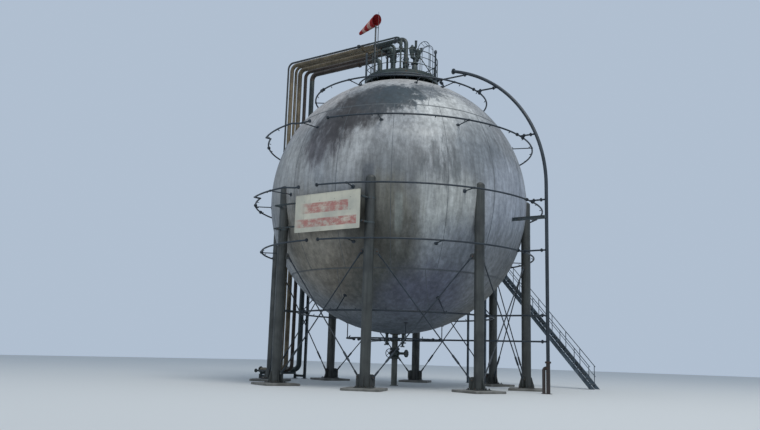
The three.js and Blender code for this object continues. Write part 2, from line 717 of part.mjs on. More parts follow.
function stair() {
  const run = STAIR_FOOT_X - LANDING_X;
  const slope = Math.atan2(LANDING_HEIGHT, run);
  const half = STRINGER_DEPTH / 2 / Math.cos(slope);
  const outline = [
    [STAIR_FOOT_X + half / Math.tan(slope), 0],
    [LANDING_X + GAP, LANDING_HEIGHT + half],
    [LANDING_X + GAP, LANDING_HEIGHT - half],
    [STAIR_FOOT_X - half / Math.tan(slope), 0],
  ];
  const sides = [-1, 1].map((s) => STAIR_Y + (s * (STAIR_WIDTH + STRINGER_THICK)) / 2);
  const parts = sides.map((y) => uprightPlate(outline, y, STRINGER_THICK));
  for (let i = 1; i < STEP_COUNT; i += 1) {
    const z = (LANDING_HEIGHT * i) / STEP_COUNT;
    const x = STAIR_FOOT_X - (run * i) / STEP_COUNT;
    parts.push(block(vec(x, STAIR_Y, z), [run / STEP_COUNT + 20, STAIR_WIDTH + 4, TREAD_THICK]));
  }
  piece('stair_flight', join(parts), BLUE_GREY);
  for (const [name, s] of [['stair_rail_inner', -1], ['stair_rail_outer', 1]]) {
    const y = STAIR_Y + s * (STAIR_WIDTH / 2 + STRINGER_THICK + 20 + GAP);
    const foot = (x) => ((STAIR_FOOT_X - x) / run) * LANDING_HEIGHT;
    const rail = (rise) => bar(
      vec(STAIR_FOOT_X - 100, y, foot(STAIR_FOOT_X - 100) + rise),
      vec(LANDING_X + 100, y, foot(LANDING_X + 100) + rise),
      20,
    );
    const posts = [];
    for (let i = 0; i <= 6; i += 1) {
      const x = STAIR_FOOT_X - 150 - ((run - 300) * i) / 6;
      posts.push(bar(vec(x, y, foot(x) - 60), vec(x, y, foot(x) + STAIR_RAIL_HEIGHT), 20));
    }
    piece(name, join(rail(STAIR_RAIL_HEIGHT), rail(STAIR_RAIL_HEIGHT / 2), posts), BLUE_GREY);
  }
}

// Landing at the foot of the arched stair, on two brackets from the shell and two posts
function landing() {
  const outer = STAIR_Y + STAIR_WIDTH / 2 + 60;
  const inner = LANDING_INNER;
  const middle = (outer + inner) / 2;
  const size = [2 * LANDING_X, outer - inner, 60];
  const parts = [block(vec(0, middle, LANDING_HEIGHT - 30), size)];
  for (const x of [-LANDING_X + 60, LANDING_X - 60]) {
    parts.push(block(vec(x, outer - 60, LANDING_HEIGHT / 2 - 15), [100, 100, LANDING_HEIGHT - 30]));
    parts.push(block(vec(x, (5600 + outer) / 2, LANDING_HEIGHT - 120), [80, outer - 5600, 140]));
  }
  const rail = RAIL_BAR / 2;
  const corners = [[-LANDING_X + 30, inner + 30], [-LANDING_X + 30, outer - 30], [LANDING_X - 30, outer - 30]];
  for (const rise of [RAIL_HEIGHT - 60, RAIL_HEIGHT * 0.5]) {
    for (let i = 0; i < 2; i += 1) {
      const [x0, y0] = corners[i];
      const [x1, y1] = corners[i + 1];
      parts.push(bar(vec(x0, y0, LANDING_HEIGHT + rise), vec(x1, y1, LANDING_HEIGHT + rise), rail));
    }
  }
  for (const [x, y] of corners) {
    parts.push(bar(vec(x, y, LANDING_HEIGHT - 20), vec(x, y, LANDING_HEIGHT + RAIL_HEIGHT - 45), rail));
  }
  piece('stair_landing', join(parts).subtract(BALL), BLUE_GREY);
}

// A point over the back of the shell, at an elevation and a distance from the arched stair's own centre
function overBack(elevation, reach, x) {
  const a = radians(elevation);
  return vec(x, ARCH_CENTRE_Y + reach * Math.cos(a), ARCH_CENTRE_Z + reach * Math.sin(a));
}

// A foot of the arched stair, from its stringer square to the shell
function archFoot(elevation, x) {
  const top = overBack(elevation, ARCH_RADIUS, x);
  const centre = vec(x, 0, CENTRE_HEIGHT);
  const bottom = centre.clone().add(top.clone().sub(centre).setLength(SHELL_RADIUS - 60));
  return bar(top, bottom, 36);
}

// A flat plate bent edgewise along the back meridian, in a plane of constant x
function archPlate(x, inner, outer, from, to, steps) {
  const edge = (reach, start, end) => Array.from({ length: steps + 1 }, (_, i) => {
    const point = overBack(start + ((end - start) * i) / steps, reach, 0);
    return new THREE.Vector2(point.y, point.z);
  });
  const shape = new THREE.Shape([...edge(inner, from, to), ...edge(outer, to, from)]);
  const geometry = new THREE.ExtrudeGeometry(shape, { depth: STRINGER_THICK, bevelEnabled: false });
  geometry.applyMatrix4(new THREE.Matrix4().makeBasis(vec(0, 1, 0), vec(0, 0, 1), vec(1, 0, 0)));
  geometry.translate(x - STRINGER_THICK / 2, 0, 0);
  return solid(geometry);
}

// Arched stair over the shell: two curved stringers with treads and rails, on feet that stand on the shell
function archStair() {
  const parts = [];
  const drop = ARCH_CENTRE_Z - LANDING_HEIGHT - GAP;
  const start = -THREE.MathUtils.radToDeg(Math.asin(drop / (ARCH_RADIUS + STRINGER_DEPTH / 2)));
  const sweep = ARCH_END - start;
  for (let i = 1; i < ARCH_STEPS; i += 1) {
    const elevation = start + (sweep * i) / ARCH_STEPS;
    parts.push(block(overBack(elevation, ARCH_RADIUS, 0), [ARCH_WIDTH, 180, TREAD_THICK]));
  }
  for (const s of [-1, 1]) {
    const x = s * (ARCH_WIDTH / 2 + STRINGER_THICK / 2 - 2);
    const half = STRINGER_DEPTH / 2;
    parts.push(archPlate(x, ARCH_RADIUS - half, ARCH_RADIUS + half, start, ARCH_END, 10));
    parts.push(...[4, 24, 46, 66].map((elevation) => archFoot(elevation, x)));
    const railX = x + s * 22;
    for (let i = 0; i <= 7; i += 1) {
      const elevation = ARCH_RAIL_START + ((ARCH_END - 3 - ARCH_RAIL_START) * i) / 7;
      parts.push(bar(overBack(elevation, ARCH_RADIUS, railX), overBack(elevation, ARCH_RAIL_RADIUS, railX), 22));
    }
    for (const reach of [ARCH_RAIL_RADIUS, (ARCH_RAIL_RADIUS + ARCH_RADIUS) / 2]) {
      const stations = Array.from({ length: 11 }, (_, i) => (
        overBack(ARCH_RAIL_START - 1 + ((ARCH_END - 1 - ARCH_RAIL_START) * i) / 10, reach, railX)
      ));
      parts.push(pipe(stations, 20, 4));
    }
  }
  parts.push(...cage());
  piece('arch_stair', join(parts).subtract(BALL), BLUE_GREY);
}

// Cage over the stair's arrival: round-topped hoops that stand on the stringers, with bars between them
function cage() {
  const [near, far] = CAGE.map(({ y, top }) => {
    const foot = ARCH_CENTRE_Z + Math.sqrt(ARCH_RADIUS ** 2 - (y - ARCH_CENTRE_Y) ** 2);
    const spring = top - CAGE_HALF_WIDTH;
    const arc = Array.from({ length: 7 }, (_, i) => {
      const a = Math.PI - (Math.PI * i) / 6;
      return vec(CAGE_X + CAGE_HALF_WIDTH * Math.cos(a), y, spring + CAGE_HALF_WIDTH * Math.sin(a));
    });
    return [vec(CAGE_X - CAGE_HALF_WIDTH, y, foot), ...arc, vec(CAGE_X + CAGE_HALF_WIDTH, y, foot)];
  });
  const links = [1, 3, 4, 5, 7].map((i) => bar(near[i], far[i], CAGE_BAR * 0.7));
  return [pipe(near, CAGE_BAR, 4), pipe(far, CAGE_BAR, 4), bar(near[1], near[7], CAGE_BAR * 0.7), ...links];
}

// Board on two rails that span a pair of legs
function sign() {
  const rails = [SIGN_BOTTOM + 300, SIGN_TOP - 300];
  const legX = LEG_CIRCLE * Math.sin(radians(22.5));
  const legY = -LEG_CIRCLE * Math.cos(radians(22.5));
  const back = SIGN_Y + SIGN_PLATE / 2;
  const railY = back + 40;
  const parts = [
    block(
      vec((SIGN_LEFT + SIGN_RIGHT) / 2, SIGN_Y, (SIGN_BOTTOM + SIGN_TOP) / 2),
      [SIGN_RIGHT - SIGN_LEFT, SIGN_PLATE, SIGN_TOP - SIGN_BOTTOM],
    ),
  ];
  for (const z of rails) {
    parts.push(block(vec(0, railY, z), [2 * legX + 120, 84, 60]));
    for (const x of [-legX, legX]) {
      const face = legY - LEG_RADIUS;
      parts.push(block(vec(x, (railY + face) / 2 + 30, z), [100, face - railY + 100, 60]));
    }
  }
  return parts;
}

function signBoard() {
  let board = join(sign());
  for (const index of [LEG_COUNT - 1, 0]) {
    const azimuth = legAzimuth(index);
    const low = around(azimuth, LEG_CIRCLE, 0);
    const high = around(azimuth, LEG_CIRCLE, LEG_TOP);
    board = board.subtract(bar(low, high, LEG_RADIUS + GAP, LEG_SIDES, around(azimuth, 1, 0)));
  }
  piece('sign_board', board, CREAM);
}

// A round neck about the tank's axis that fills a hole in the shell
function neck(holeRadius, low, high) {
  const radius = holeRadius * (1 - SHELL_PLATE / SHELL_RADIUS) - GAP;
  return turned([[0, low], [radius, low], [radius, high], [0, high]], SHELL_SIDES);
}

// Neck and cover of the manhole in the crown
function manhole() {
  const middle = COVER_TOP - COVER_THICK / 2;
  const parts = [
    neck(MANHOLE_RADIUS, COVER_TOP - 665, middle),
    flange(vec(0, 0, middle), vec(0, 0, 1), MANHOLE_RADIUS + 110, COVER_THICK, 16),
  ];
  piece('top_manhole', join(parts), GREEN_GREY);
}

// Relief valves side by side on one header, each with a vent stack
function reliefValves() {
  const { x, y, radius } = RELIEF;
  const crown = CENTRE_HEIGHT + Math.sqrt(SHELL_RADIUS ** 2 - x ** 2 - y ** 2);
  const head = DECK_HEIGHT + RELIEF.rise;
  const outlet = head + 420;
  const parts = [
    bar(vec(x, y, crown - 100), vec(x, y, head), radius, 8),
    bar(vec(x, y - 330, head), vec(x, y + 330, head), radius, 8),
    bar(vec(x, y, DECK_HEIGHT + RELIEF_STOP.low), vec(x, y, DECK_HEIGHT + RELIEF_STOP.high), RELIEF_STOP.radius, 8),
  ];
  for (const [index, rise] of RELIEF.stacks.entries()) {
    const side = y + (index === 0 ? -260 : 260);
    parts.push(bar(vec(x, side, head), vec(x, side, head + 620), 75, 8));
    parts.push(flange(vec(x, side, head + 180), vec(0, 0, 1), 125, 60));
    parts.push(bar(vec(x, side, outlet), vec(x + 260, side, outlet), 65, 6));
    parts.push(bar(vec(x + 220, side, outlet), vec(x + 220, side, outlet + rise), 60, 6));
  }
  piece('relief_valves', join(parts).subtract(BALL), GREEN_GREY);
}

// Mast on the deck, and clamped beside it the thin pole that the windsock turns on
function windsockMast() {
  const foot = DECK_HEIGHT + GAP;
  const mast = [
    bar(vec(MAST_X, MAST_Y, foot), vec(MAST_X, MAST_Y, MAST_TOP), MAST_RADIUS, 8),
    bar(vec(MAST_X, MAST_Y, foot), vec(MAST_X, MAST_Y, MAST_SLEEVE_TOP), MAST_SLEEVE_RADIUS, 8),
    flange(vec(MAST_X, MAST_Y, foot + 10), vec(0, 0, 1), 120, 20),
    bar(vec(POLE_X, POLE_Y, POLE_FOOT), vec(POLE_X, POLE_Y, POLE_TOP), POLE_RADIUS, 8),
    flange(vec(POLE_X, POLE_Y, SLEEVE_LOW - GAP - 12), vec(0, 0, 1), POLE_RADIUS + 18, 24),
  ];
  for (const height of [POLE_FOOT + 80, MAST_TOP - 120]) {
    mast.push(bar(vec(MAST_X, MAST_Y, height), vec(POLE_X, POLE_Y, height), 26));
  }
  piece('windsock_mast', join(mast), SLATE);
}

// A ring turned about an upright axis
function collar(x, y, inner, outer, low, high, sides = 12) {
  const outline = [[inner, low], [outer, low], [outer, high], [inner, high], [inner, low]];
  const geometry = new THREE.LatheGeometry(outline.map(([r, z]) => new THREE.Vector2(r, z)), sides);
  geometry.rotateX(Math.PI / 2);
  geometry.translate(x, y, 0);
  return solid(geometry);
}

// Windsock: an open tapered sleeve of cloth that droops from a hoop whose lower edge swings out
function windsock() {
  const wind = around(SOCK_DIRECTION, 1, 0);
  const side = vec(-wind.y, wind.x, 0);
  const cloth = 12;
  const outline = [
    [SOCK_MOUTH_RADIUS, 0],
    [SOCK_TAIL_RADIUS, SOCK_REACH],
    [SOCK_TAIL_RADIUS - cloth, SOCK_REACH],
    [SOCK_MOUTH_RADIUS - cloth, 0],
    [SOCK_MOUTH_RADIUS, 0],
  ];
  const geometry = new THREE.LatheGeometry(outline.map(([r, z]) => new THREE.Vector2(r, z)), 12);
  const drooping = wind.clone();
  drooping.z = -Math.tan(radians(SOCK_DROOP));
  const lean = radians(SOCK_LEAN);
  const hoopUp = vec(0, 0, Math.cos(lean)).addScaledVector(wind, -Math.sin(lean));
  geometry.applyMatrix4(new THREE.Matrix4().makeBasis(side, drooping, hoopUp));
  const mouth = vec(POLE_X, POLE_Y, SOCK_HEIGHT).addScaledVector(wind, SOCK_OFFSET);
  geometry.translate(mouth.x, mouth.y, mouth.z);
  const rim = SOCK_MOUTH_RADIUS - cloth / 2;
  const arms = [-1, 1].map((s) => bar(
    vec(POLE_X, POLE_Y, SOCK_HEIGHT + s * 150).addScaledVector(wind, POLE_RADIUS + 14),
    mouth.clone().addScaledVector(hoopUp, s * rim).addScaledVector(wind, 6),
    9,
  ));
  const sleeve = collar(POLE_X, POLE_Y, POLE_RADIUS + 6, POLE_RADIUS + 20, SLEEVE_LOW, SLEEVE_HIGH);
  piece('windsock', join(solid(geometry), sleeve, arms), RED);
}

// Outlet at the bottom of the shell: nozzle cluster, valve and the pipe to the ground
function bottomOutlet() {
  const bottom = CENTRE_HEIGHT - SHELL_RADIUS;
  const parts = [
    neck(DRAIN_RADIUS, bottom - 250, bottom + 100),
    bar(vec(0, 0, bottom - 200), vec(0, 0, 700), DRAIN_RADIUS - 10, 12),
    flange(vec(0, 0, bottom - 250), vec(0, 0, 1), 260, 80, 12),
    flange(vec(0, 0, 1500), vec(0, 0, 1), 240, 300, 12),
    bar(vec(0, 0, 900), vec(0, 0, 0), DRAIN_RADIUS - 10, 12),
    bar(vec(0, 0, 1500), vec(650, 0, 1500), 60, 8),
    flange(vec(650, 0, 1500), vec(1, 0, 0), 180, 40, 12),
  ];
  piece('bottom_outlet', join(parts), OLIVE);
}

shell();
for (let i = 0; i < LEG_COUNT; i += 1) {
  leg(i);
  tieRods(i);
}
sprayRings();
risers();
lines();
piece('line_rack', join(lineRack()).subtract(BALL), SLATE);
platform();
platformRail();
stair();
landing();
archStair();
signBoard();
manhole();
reliefValves();
windsockMast();
windsock();
bottomOutlet();

// The origin is the middle of the base, on the ground
const bounds = new THREE.Box3().setFromObject(plant);
const middle = bounds.getCenter(vec());
plant.position.set(-middle.x, -middle.y, -bounds.min.z);
plant.updateMatrixWorld(true);

const root = new THREE.Group();
root.add(plant);

export default root;
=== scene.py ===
"""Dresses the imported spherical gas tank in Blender.

The shell, its legs and tie rods, the spray rings, the pipes, the platform, the stairs, the sign board and the
windsock are built as smooth, detailed pieces over the CAD nodes, each with its own finish, in metres.
"""

import logging
import math
from dataclasses import dataclass
from enum import Enum
from functools import lru_cache

import bpy
import numpy as np
from mathutils import Matrix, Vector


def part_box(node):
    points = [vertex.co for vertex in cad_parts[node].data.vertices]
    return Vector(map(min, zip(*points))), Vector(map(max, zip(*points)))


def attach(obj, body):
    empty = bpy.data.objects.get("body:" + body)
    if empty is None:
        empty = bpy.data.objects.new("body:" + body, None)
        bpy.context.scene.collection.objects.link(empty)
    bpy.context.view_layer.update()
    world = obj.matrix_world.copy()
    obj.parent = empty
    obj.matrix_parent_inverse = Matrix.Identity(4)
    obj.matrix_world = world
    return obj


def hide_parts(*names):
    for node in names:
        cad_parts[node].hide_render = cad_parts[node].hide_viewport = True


LOG = logging.getLogger("gas_tank")

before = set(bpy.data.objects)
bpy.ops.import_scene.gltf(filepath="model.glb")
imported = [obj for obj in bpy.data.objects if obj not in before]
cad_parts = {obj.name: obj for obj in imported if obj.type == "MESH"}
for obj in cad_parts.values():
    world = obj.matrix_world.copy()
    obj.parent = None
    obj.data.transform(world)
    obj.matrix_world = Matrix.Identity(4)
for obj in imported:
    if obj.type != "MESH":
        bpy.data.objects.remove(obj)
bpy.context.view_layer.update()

Array = np.ndarray
Colour = tuple[float, float, float]
Profile = list[tuple[float, float]]
Node = bpy.types.Node
Socket = bpy.types.NodeSocket
Value = Socket | float | str | Colour

BELT_LOW, BELT_HIGH = (np.array(corner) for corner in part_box("shell_equator_belt"))
AXIS = np.array([*((BELT_LOW + BELT_HIGH) / 2)[:2], 0.0])
UP = np.array([0.0, 0.0, 1.0])
EAST = np.array([1.0, 0.0, 0.0])
BACK = np.array([0.0, 1.0, 0.0])
SEAM_ELEVATION = 35.5
MANHOLE_RADIUS = 0.25
SHARP_ANGLE = math.radians(32)


# Points and directions in the plant's own frame: the tank's axis at x = y = 0, the ground at z = 0


def point(x: float, y: float, z: float) -> Array:
    """A place or a direction by its three coordinates."""
    return np.array([x, y, z], float)


def sine(degrees: float) -> float:
    """Sine of an angle in degrees."""
    return math.sin(math.radians(degrees))


def cosine(degrees: float) -> float:
    """Cosine of an angle in degrees."""
    return math.cos(math.radians(degrees))


def unit(vector: Array) -> Array:
    """Each vector divided by its own length."""
    vector = np.asarray(vector, float)
    return vector / np.linalg.norm(vector, axis=-1, keepdims=True)


def around(azimuth: Array | float, reach: Array | float, height: Array | float) -> Array:
    """Points round the axis: (reach sin a, -reach cos a, height), a in degrees from the front to +X."""
    angle = np.radians(azimuth)
    return np.stack(np.broadcast_arrays(reach * np.sin(angle), -reach * np.cos(angle), height), axis=-1)


def outwards(azimuth: float, length: float = 1.0) -> Array:
    """The level direction away from the axis at an azimuth."""
    return around(azimuth, length, 0.0)


def turns(count: int) -> Array:
    """Angles in radians evenly round a circle, the first one half a step from its start."""
    return 2 * np.pi * (np.arange(count) + 0.5) / count


def spokes(turn: Array, first: Array, second: Array) -> Array:
    """Points of a unit circle: cos(t) first + sin(t) second, one for each angle."""
    return np.cos(turn)[:, None] * first + np.sin(turn)[:, None] * second


def axes_along(direction: Array, facing: Array | None = None) -> Array:
    """Three unit axes as rows, the third along a direction and the first as near as it can be to another.

    Args:
        direction: The third axis.
        facing: What the first axis faces. Without it, the first axis is level or along X.

    Returns:
        A 3 by 3 array of rows.
    """
    third = unit(direction)
    if facing is None:
        facing = EAST if abs(third[2]) > 0.9 else np.cross(UP, third)
    first = unit(np.asarray(facing, float) - np.dot(facing, third) * third)
    return np.array([first, np.cross(third, first), third])


@dataclass(frozen=True)
class Ball:
    """The sphere that the shell's outside follows."""

    radius: float = 6.19
    plate: float = 0.044
    height: float = 8.6

    def reach(self, height: float) -> float:
        """Distance of the outside from the axis at a height."""
        return math.sqrt(self.radius**2 - (height - self.height) ** 2)

    def top(self, x: float, y: float = 0.0) -> float:
        """Height of the upper outside over a place on the ground."""
        return self.height + math.sqrt(self.radius**2 - x**2 - y**2)

    def underside(self, reach: float) -> float:
        """Height of the lower outside at a distance from the axis."""
        return self.height - math.sqrt(self.radius**2 - reach**2)

    def at(self, azimuth: Array | float, elevation: Array | float, lift: float = 0.0) -> Array:
        """Points on the outside: radius (cos e sin a, -cos e cos a, sin e), lifted off it by a distance."""
        angle, radius = np.radians(elevation), self.radius + lift
        return around(azimuth, radius * np.cos(angle), self.height + radius * np.sin(angle))


BALL = Ball()


# Surfaces as whole arrays


@dataclass
class Skin:
    """A closed surface: its points, and blocks of faces with the same number of corners in each block."""

    points: Array
    faces: list[Array]

    def volume(self) -> float:
        """Signed volume, a sum of a . (b x c) / 6 over the fans of triangles of all the faces."""
        corners = [self.points[block] for block in self.faces]
        return sum(float(np.sum(c[:, :1] * np.cross(c[:, 1:-1], c[:, 2:]))) for c in corners) / 6

    def outward(self) -> "Skin":
        """The same surface with its faces pointing out of it."""
        return Skin(self.points, [block[:, ::-1] for block in self.faces]) if self.volume() < 0 else self


def joined(*skins: Skin) -> Skin:
    """Several surfaces as one."""
    starts = np.cumsum([0] + [len(skin.points) for skin in skins])
    return Skin(np.concatenate([skin.points for skin in skins]),
                [block + start for skin, start in zip(skins, starts) for block in skin.faces])


def loft(rings: Array, closed: bool = False) -> Skin:
    """A surface through rings of corners: each side face spans corners j and j + 1 of two neighbouring rings.

    Args:
        rings: Points by ring, corner and coordinate. Each ring closes on itself.
        closed: Whether the last ring joins the first. Otherwise both are capped flat.

    Returns:
        The closed surface, facing out.
    """
    count, corners, _ = rings.shape
    grid = np.arange(count * corners).reshape(count, corners)
    near = grid if closed else grid[:-1]
    far = np.roll(grid, -1, axis=0) if closed else grid[1:]
    sides = np.stack([near, np.roll(near, -1, axis=1), np.roll(far, -1, axis=1), far], axis=-1).reshape(-1, 4)
    faces = [sides] if closed else [sides, grid[:1, ::-1], grid[-1:]]
    return Skin(rings.reshape(-1, 3), faces).outward()


def spun(origin: Array, direction: Array, profile: Profile, sides: int = 24) -> Skin:
    """A turned form: circles of the profile's radii, strung along a straight axis.

    Args:
        origin: Where the axis starts.
        direction: Where the axis leads.
        profile: Pairs of distance along the axis and radius.
        sides: Corners of each circle.

    Returns:
        The closed surface.
    """
    first, second, third = axes_along(direction)
    along, radius = np.array(profile, float).T
    circle = spokes(turns(sides), first, second)
    return loft(origin + along[:, None, None] * third + radius[:, None, None] * circle)


def rod(start: Array, end: Array, radius: float, sides: int = 12) -> Skin:
    """A straight round bar between two points."""
    start, way = np.asarray(start, float), np.asarray(end, float) - start
    return spun(start, way, [(0, radius), (float(np.linalg.norm(way)), radius)], sides)


def collar(centre: Array, direction: Array, inner: float, outer: float, length: float,
           sides: int = 20) -> Skin:
    """A plain round sleeve about a point of a pipe or bar."""
    profile = [(0, inner), (0, outer), (length, outer), (length, inner)]
    return spun(centre - length / 2 * direction, direction, profile, sides)


def tube(path: Array, radius: float, normal: Array, sides: int = 16, closed: bool = False) -> Skin:
    """A round pipe along a path that lies in one plane.

    At each station stands a circle across the mean of the two directions there, widened in the path's plane
    by one over the cosine of half the bend, so that the wall stays parallel round a bend.

    Args:
        path: Stations along the centre line.
        radius: Outside radius.
        normal: Normal of the path's plane.
        sides: Corners of each circle.
        closed: Whether the path returns to its start.

    Returns:
        The closed surface.
    """
    steps = np.roll(path, -1, axis=0) - path if closed else np.diff(path, axis=0)
    before = unit(np.roll(steps, 1, axis=0) if closed else np.concatenate([steps[:1], steps]))
    after = unit(steps if closed else np.concatenate([steps, steps[-1:]]))
    along = unit(before + after)
    widened = 1 / np.clip(np.sum(along * after, axis=-1), 0.5, 1)
    normal = unit(normal)
    side = np.cross(along, normal) * widened[:, None]
    return loft(path[:, None] + radius * spokes(turns(sides), side[:, None], normal), closed)


def rounded(points: list[Array], bend: float, step: float = 9.0) -> Array:
    """Stations along straight runs with round corners.

    On a corner, a station at angle t of the arc is start + bend (sin t into + (1 - cos t) across).

    Args:
        points: The corners of the route.
        bend: Radius of the bends.
        step: Degrees between the stations of a bend.

    Returns:
        The stations.
    """
    stations = [np.asarray(points[0], float)[None]]
    for before, corner, after in zip(points, points[1:], points[2:]):
        into, out = unit(corner - before), unit(after - corner)
        turn = math.acos(float(np.clip(np.dot(into, out), -1, 1)))
        across = unit(out - np.dot(into, out) * into)
        start = corner - into * bend * math.tan(turn / 2)
        angle = np.linspace(0, turn, max(3, int(math.degrees(turn) / step) + 1))[:, None]
        stations.append(start + bend * (np.sin(angle) * into + (1 - np.cos(angle)) * across))
    stations.append(np.asarray(points[-1], float)[None])
    return np.concatenate(stations)


def plate(outline: Array, thickness: Array) -> Skin:
    """A flat plate: its outline, and the same outline moved by the thickness."""
    return loft(np.stack([outline, outline + thickness]))


def flat(outline: Array | list, origin: Array, across: Array, up: Array) -> Array:
    """Corners of a flat outline in space: origin + s across + t up."""
    outline = np.asarray(outline, float)
    return origin + outline[:, :1] * across + outline[:, 1:] * up


def fin(outline: Array | list, origin: Array, out: Array, side: Array) -> Skin:
    """An upright plate along a direction out, with half its thickness on each side of its origin."""
    return plate(flat(outline, origin - side / 2, out, UP), side)


def block(centre: Array, size: tuple[float, float, float], axes: Array | None = None,
          edge: float = 0.003) -> Skin:
    """A box whose edges are all broken: four rings of eight corners, the outer two drawn in by the edge.

    Args:
        centre: Middle of the box.
        size: Its sides.
        axes: Its three directions as rows, the world's by default.
        edge: Width of the broken edges.

    Returns:
        The closed surface.
    """
    axes = np.eye(3) if axes is None else axes
    half = np.array(size, float) / 2
    edge = min(edge, 0.3 * float(half.min()))
    signs = np.array([[1, -1], [1, 1], [1, 1], [-1, 1], [-1, 1], [-1, -1], [-1, -1], [1, -1]], float)
    inset = np.array([[0, 1], [0, 1], [1, 0], [1, 0]] * 2, float)
    rings = []
    for height, drawn in ((-half[2], 1), (-half[2] + edge, 0), (half[2] - edge, 0), (half[2], 1)):
        corners = signs * (half[:2] - edge * inset - edge * drawn)
        rings.append(np.column_stack([corners, np.full(8, height)]))
    return loft(np.asarray(centre, float) + np.stack(rings) @ axes)


def beam(start: Array, end: Array, depth: float, width: float, up: Array = UP) -> Skin:
    """A rolled H section between two points: twelve corners round two flanges and a web.

    Args:
        start: Middle of one end.
        end: Middle of the other end.
        depth: Distance over the flanges.
        width: Width of the flanges.
        up: The way that the web's height points.

    Returns:
        The closed surface.
    """
    start, end = np.asarray(start, float), np.asarray(end, float)
    first, second, _ = axes_along(end - start, up)
    d, w, t = depth / 2, width / 2, max(0.008, 0.07 * depth)
    outline = np.array([
        [d, w], [d, -w], [d - t, -w], [d - t, -t / 2], [t - d, -t / 2], [t - d, -w],
        [-d, -w], [-d, w], [t - d, w], [t - d, t / 2], [d - t, t / 2], [d - t, w],
    ])
    return plate(flat(outline, start, first, second), end - start)


def scatter(skin: Skin, origins: Array, axes: Array) -> Skin:
    """Copies of one small form: each point p becomes origin + p . axes.

    Args:
        skin: The form, round its own origin.
        origins: A place for each copy.
        axes: Three directions as rows for each copy, or one set for all of them.

    Returns:
        All the copies as one surface.
    """
    origins = np.asarray(origins, float).reshape(-1, 3)
    axes = np.broadcast_to(axes, (len(origins), 3, 3))
    points = origins[:, None] + np.einsum("nj,kji->kni", skin.points, axes)
    starts = np.arange(len(origins)) * len(skin.points)
    faces = [(rows[None] + starts[:, None, None]).reshape(-1, rows.shape[1]) for rows in skin.faces]
    return Skin(points.reshape(-1, 3), faces)


def stud(size: float, grip: float) -> Skin:
    """A stud along z with a six-sided nut at each end of its grip and a short thread beyond each nut.

    Args:
        size: Its thread.
        grip: Thickness that it holds together.

    Returns:
        The stud, round its own middle.
    """
    thread, nut = 0.5 * size, 0.92 * size
    half, high, tip = grip / 2, grip / 2 + 0.8 * size, grip / 2 + 1.15 * size
    profile = [(-tip, thread), (-high, thread), (-high, nut), (-half, nut), (-half, thread)]
    return spun(np.zeros(3), UP, profile + [(-z, r) for z, r in reversed(profile)], 6)


def stud_circle(centre: Array, direction: Array, reach: float, count: int, size: float, grip: float) -> Skin:
    """Studs evenly round a circle across an axis, each along it."""
    axes = axes_along(direction)
    return scatter(stud(size, grip), centre + reach * spokes(turns(count), axes[0], axes[1]), axes)


def flange_pair(centre: Array, direction: Array, radius: float, thick: float, bolts: int = 8) -> Skin:
    """Two bolted flanges face to face, or a flange and its blind cover, with a gasket's gap between them.

    Args:
        centre: Middle of the joint.
        direction: The pipe's direction.
        radius: Outside radius of the flanges.
        thick: Thickness over both.
        bolts: How many studs.

    Returns:
        The flanges with their studs.
    """
    half, gap, lip = thick / 2, 0.05 * thick, 0.06 * thick
    profile = [(-half, radius - lip), (-half + lip, radius), (-gap, radius), (-gap, 0.8 * radius)]
    profile += [(-z, r) for z, r in reversed(profile)]
    studs = stud_circle(centre, direction, 0.84 * radius, bolts, max(0.01, 0.11 * radius), thick)
    return joined(spun(centre, direction, profile, 32), studs)


def handwheel(centre: Array, direction: Array, radius: float) -> Skin:
    """A valve's wheel: a round rim, a hub and five spokes.

    Args:
        centre: Middle of the wheel.
        direction: The stem's direction.
        radius: Radius of the rim.

    Returns:
        The wheel.
    """
    first, second, third = axes_along(direction)
    circle = centre + radius * spokes(np.radians(np.arange(0, 360, 12.0)), first, second)
    rim = tube(circle, 0.09 * radius, third, 8, True)
    sides = [(0, 0.16 * radius), (0.28 * radius, 0.16 * radius)]
    hub = spun(centre - 0.14 * radius * third, third, sides, 12)
    ends = centre + radius * spokes(2 * np.pi * np.arange(5) / 5, first, second)
    return joined(rim, hub, *(rod(centre, end, 0.06 * radius, 6) for end in ends))


# Finishes


def tone(code: str) -> Colour:
    """Linear colour of a web colour such as #8f9290."""
    parts = np.array([int(code[i:i + 2], 16) for i in (1, 3, 5)]) / 255
    return tuple(np.where(parts > 0.04045, ((parts + 0.055) / 1.055) ** 2.4, parts / 12.92).tolist())


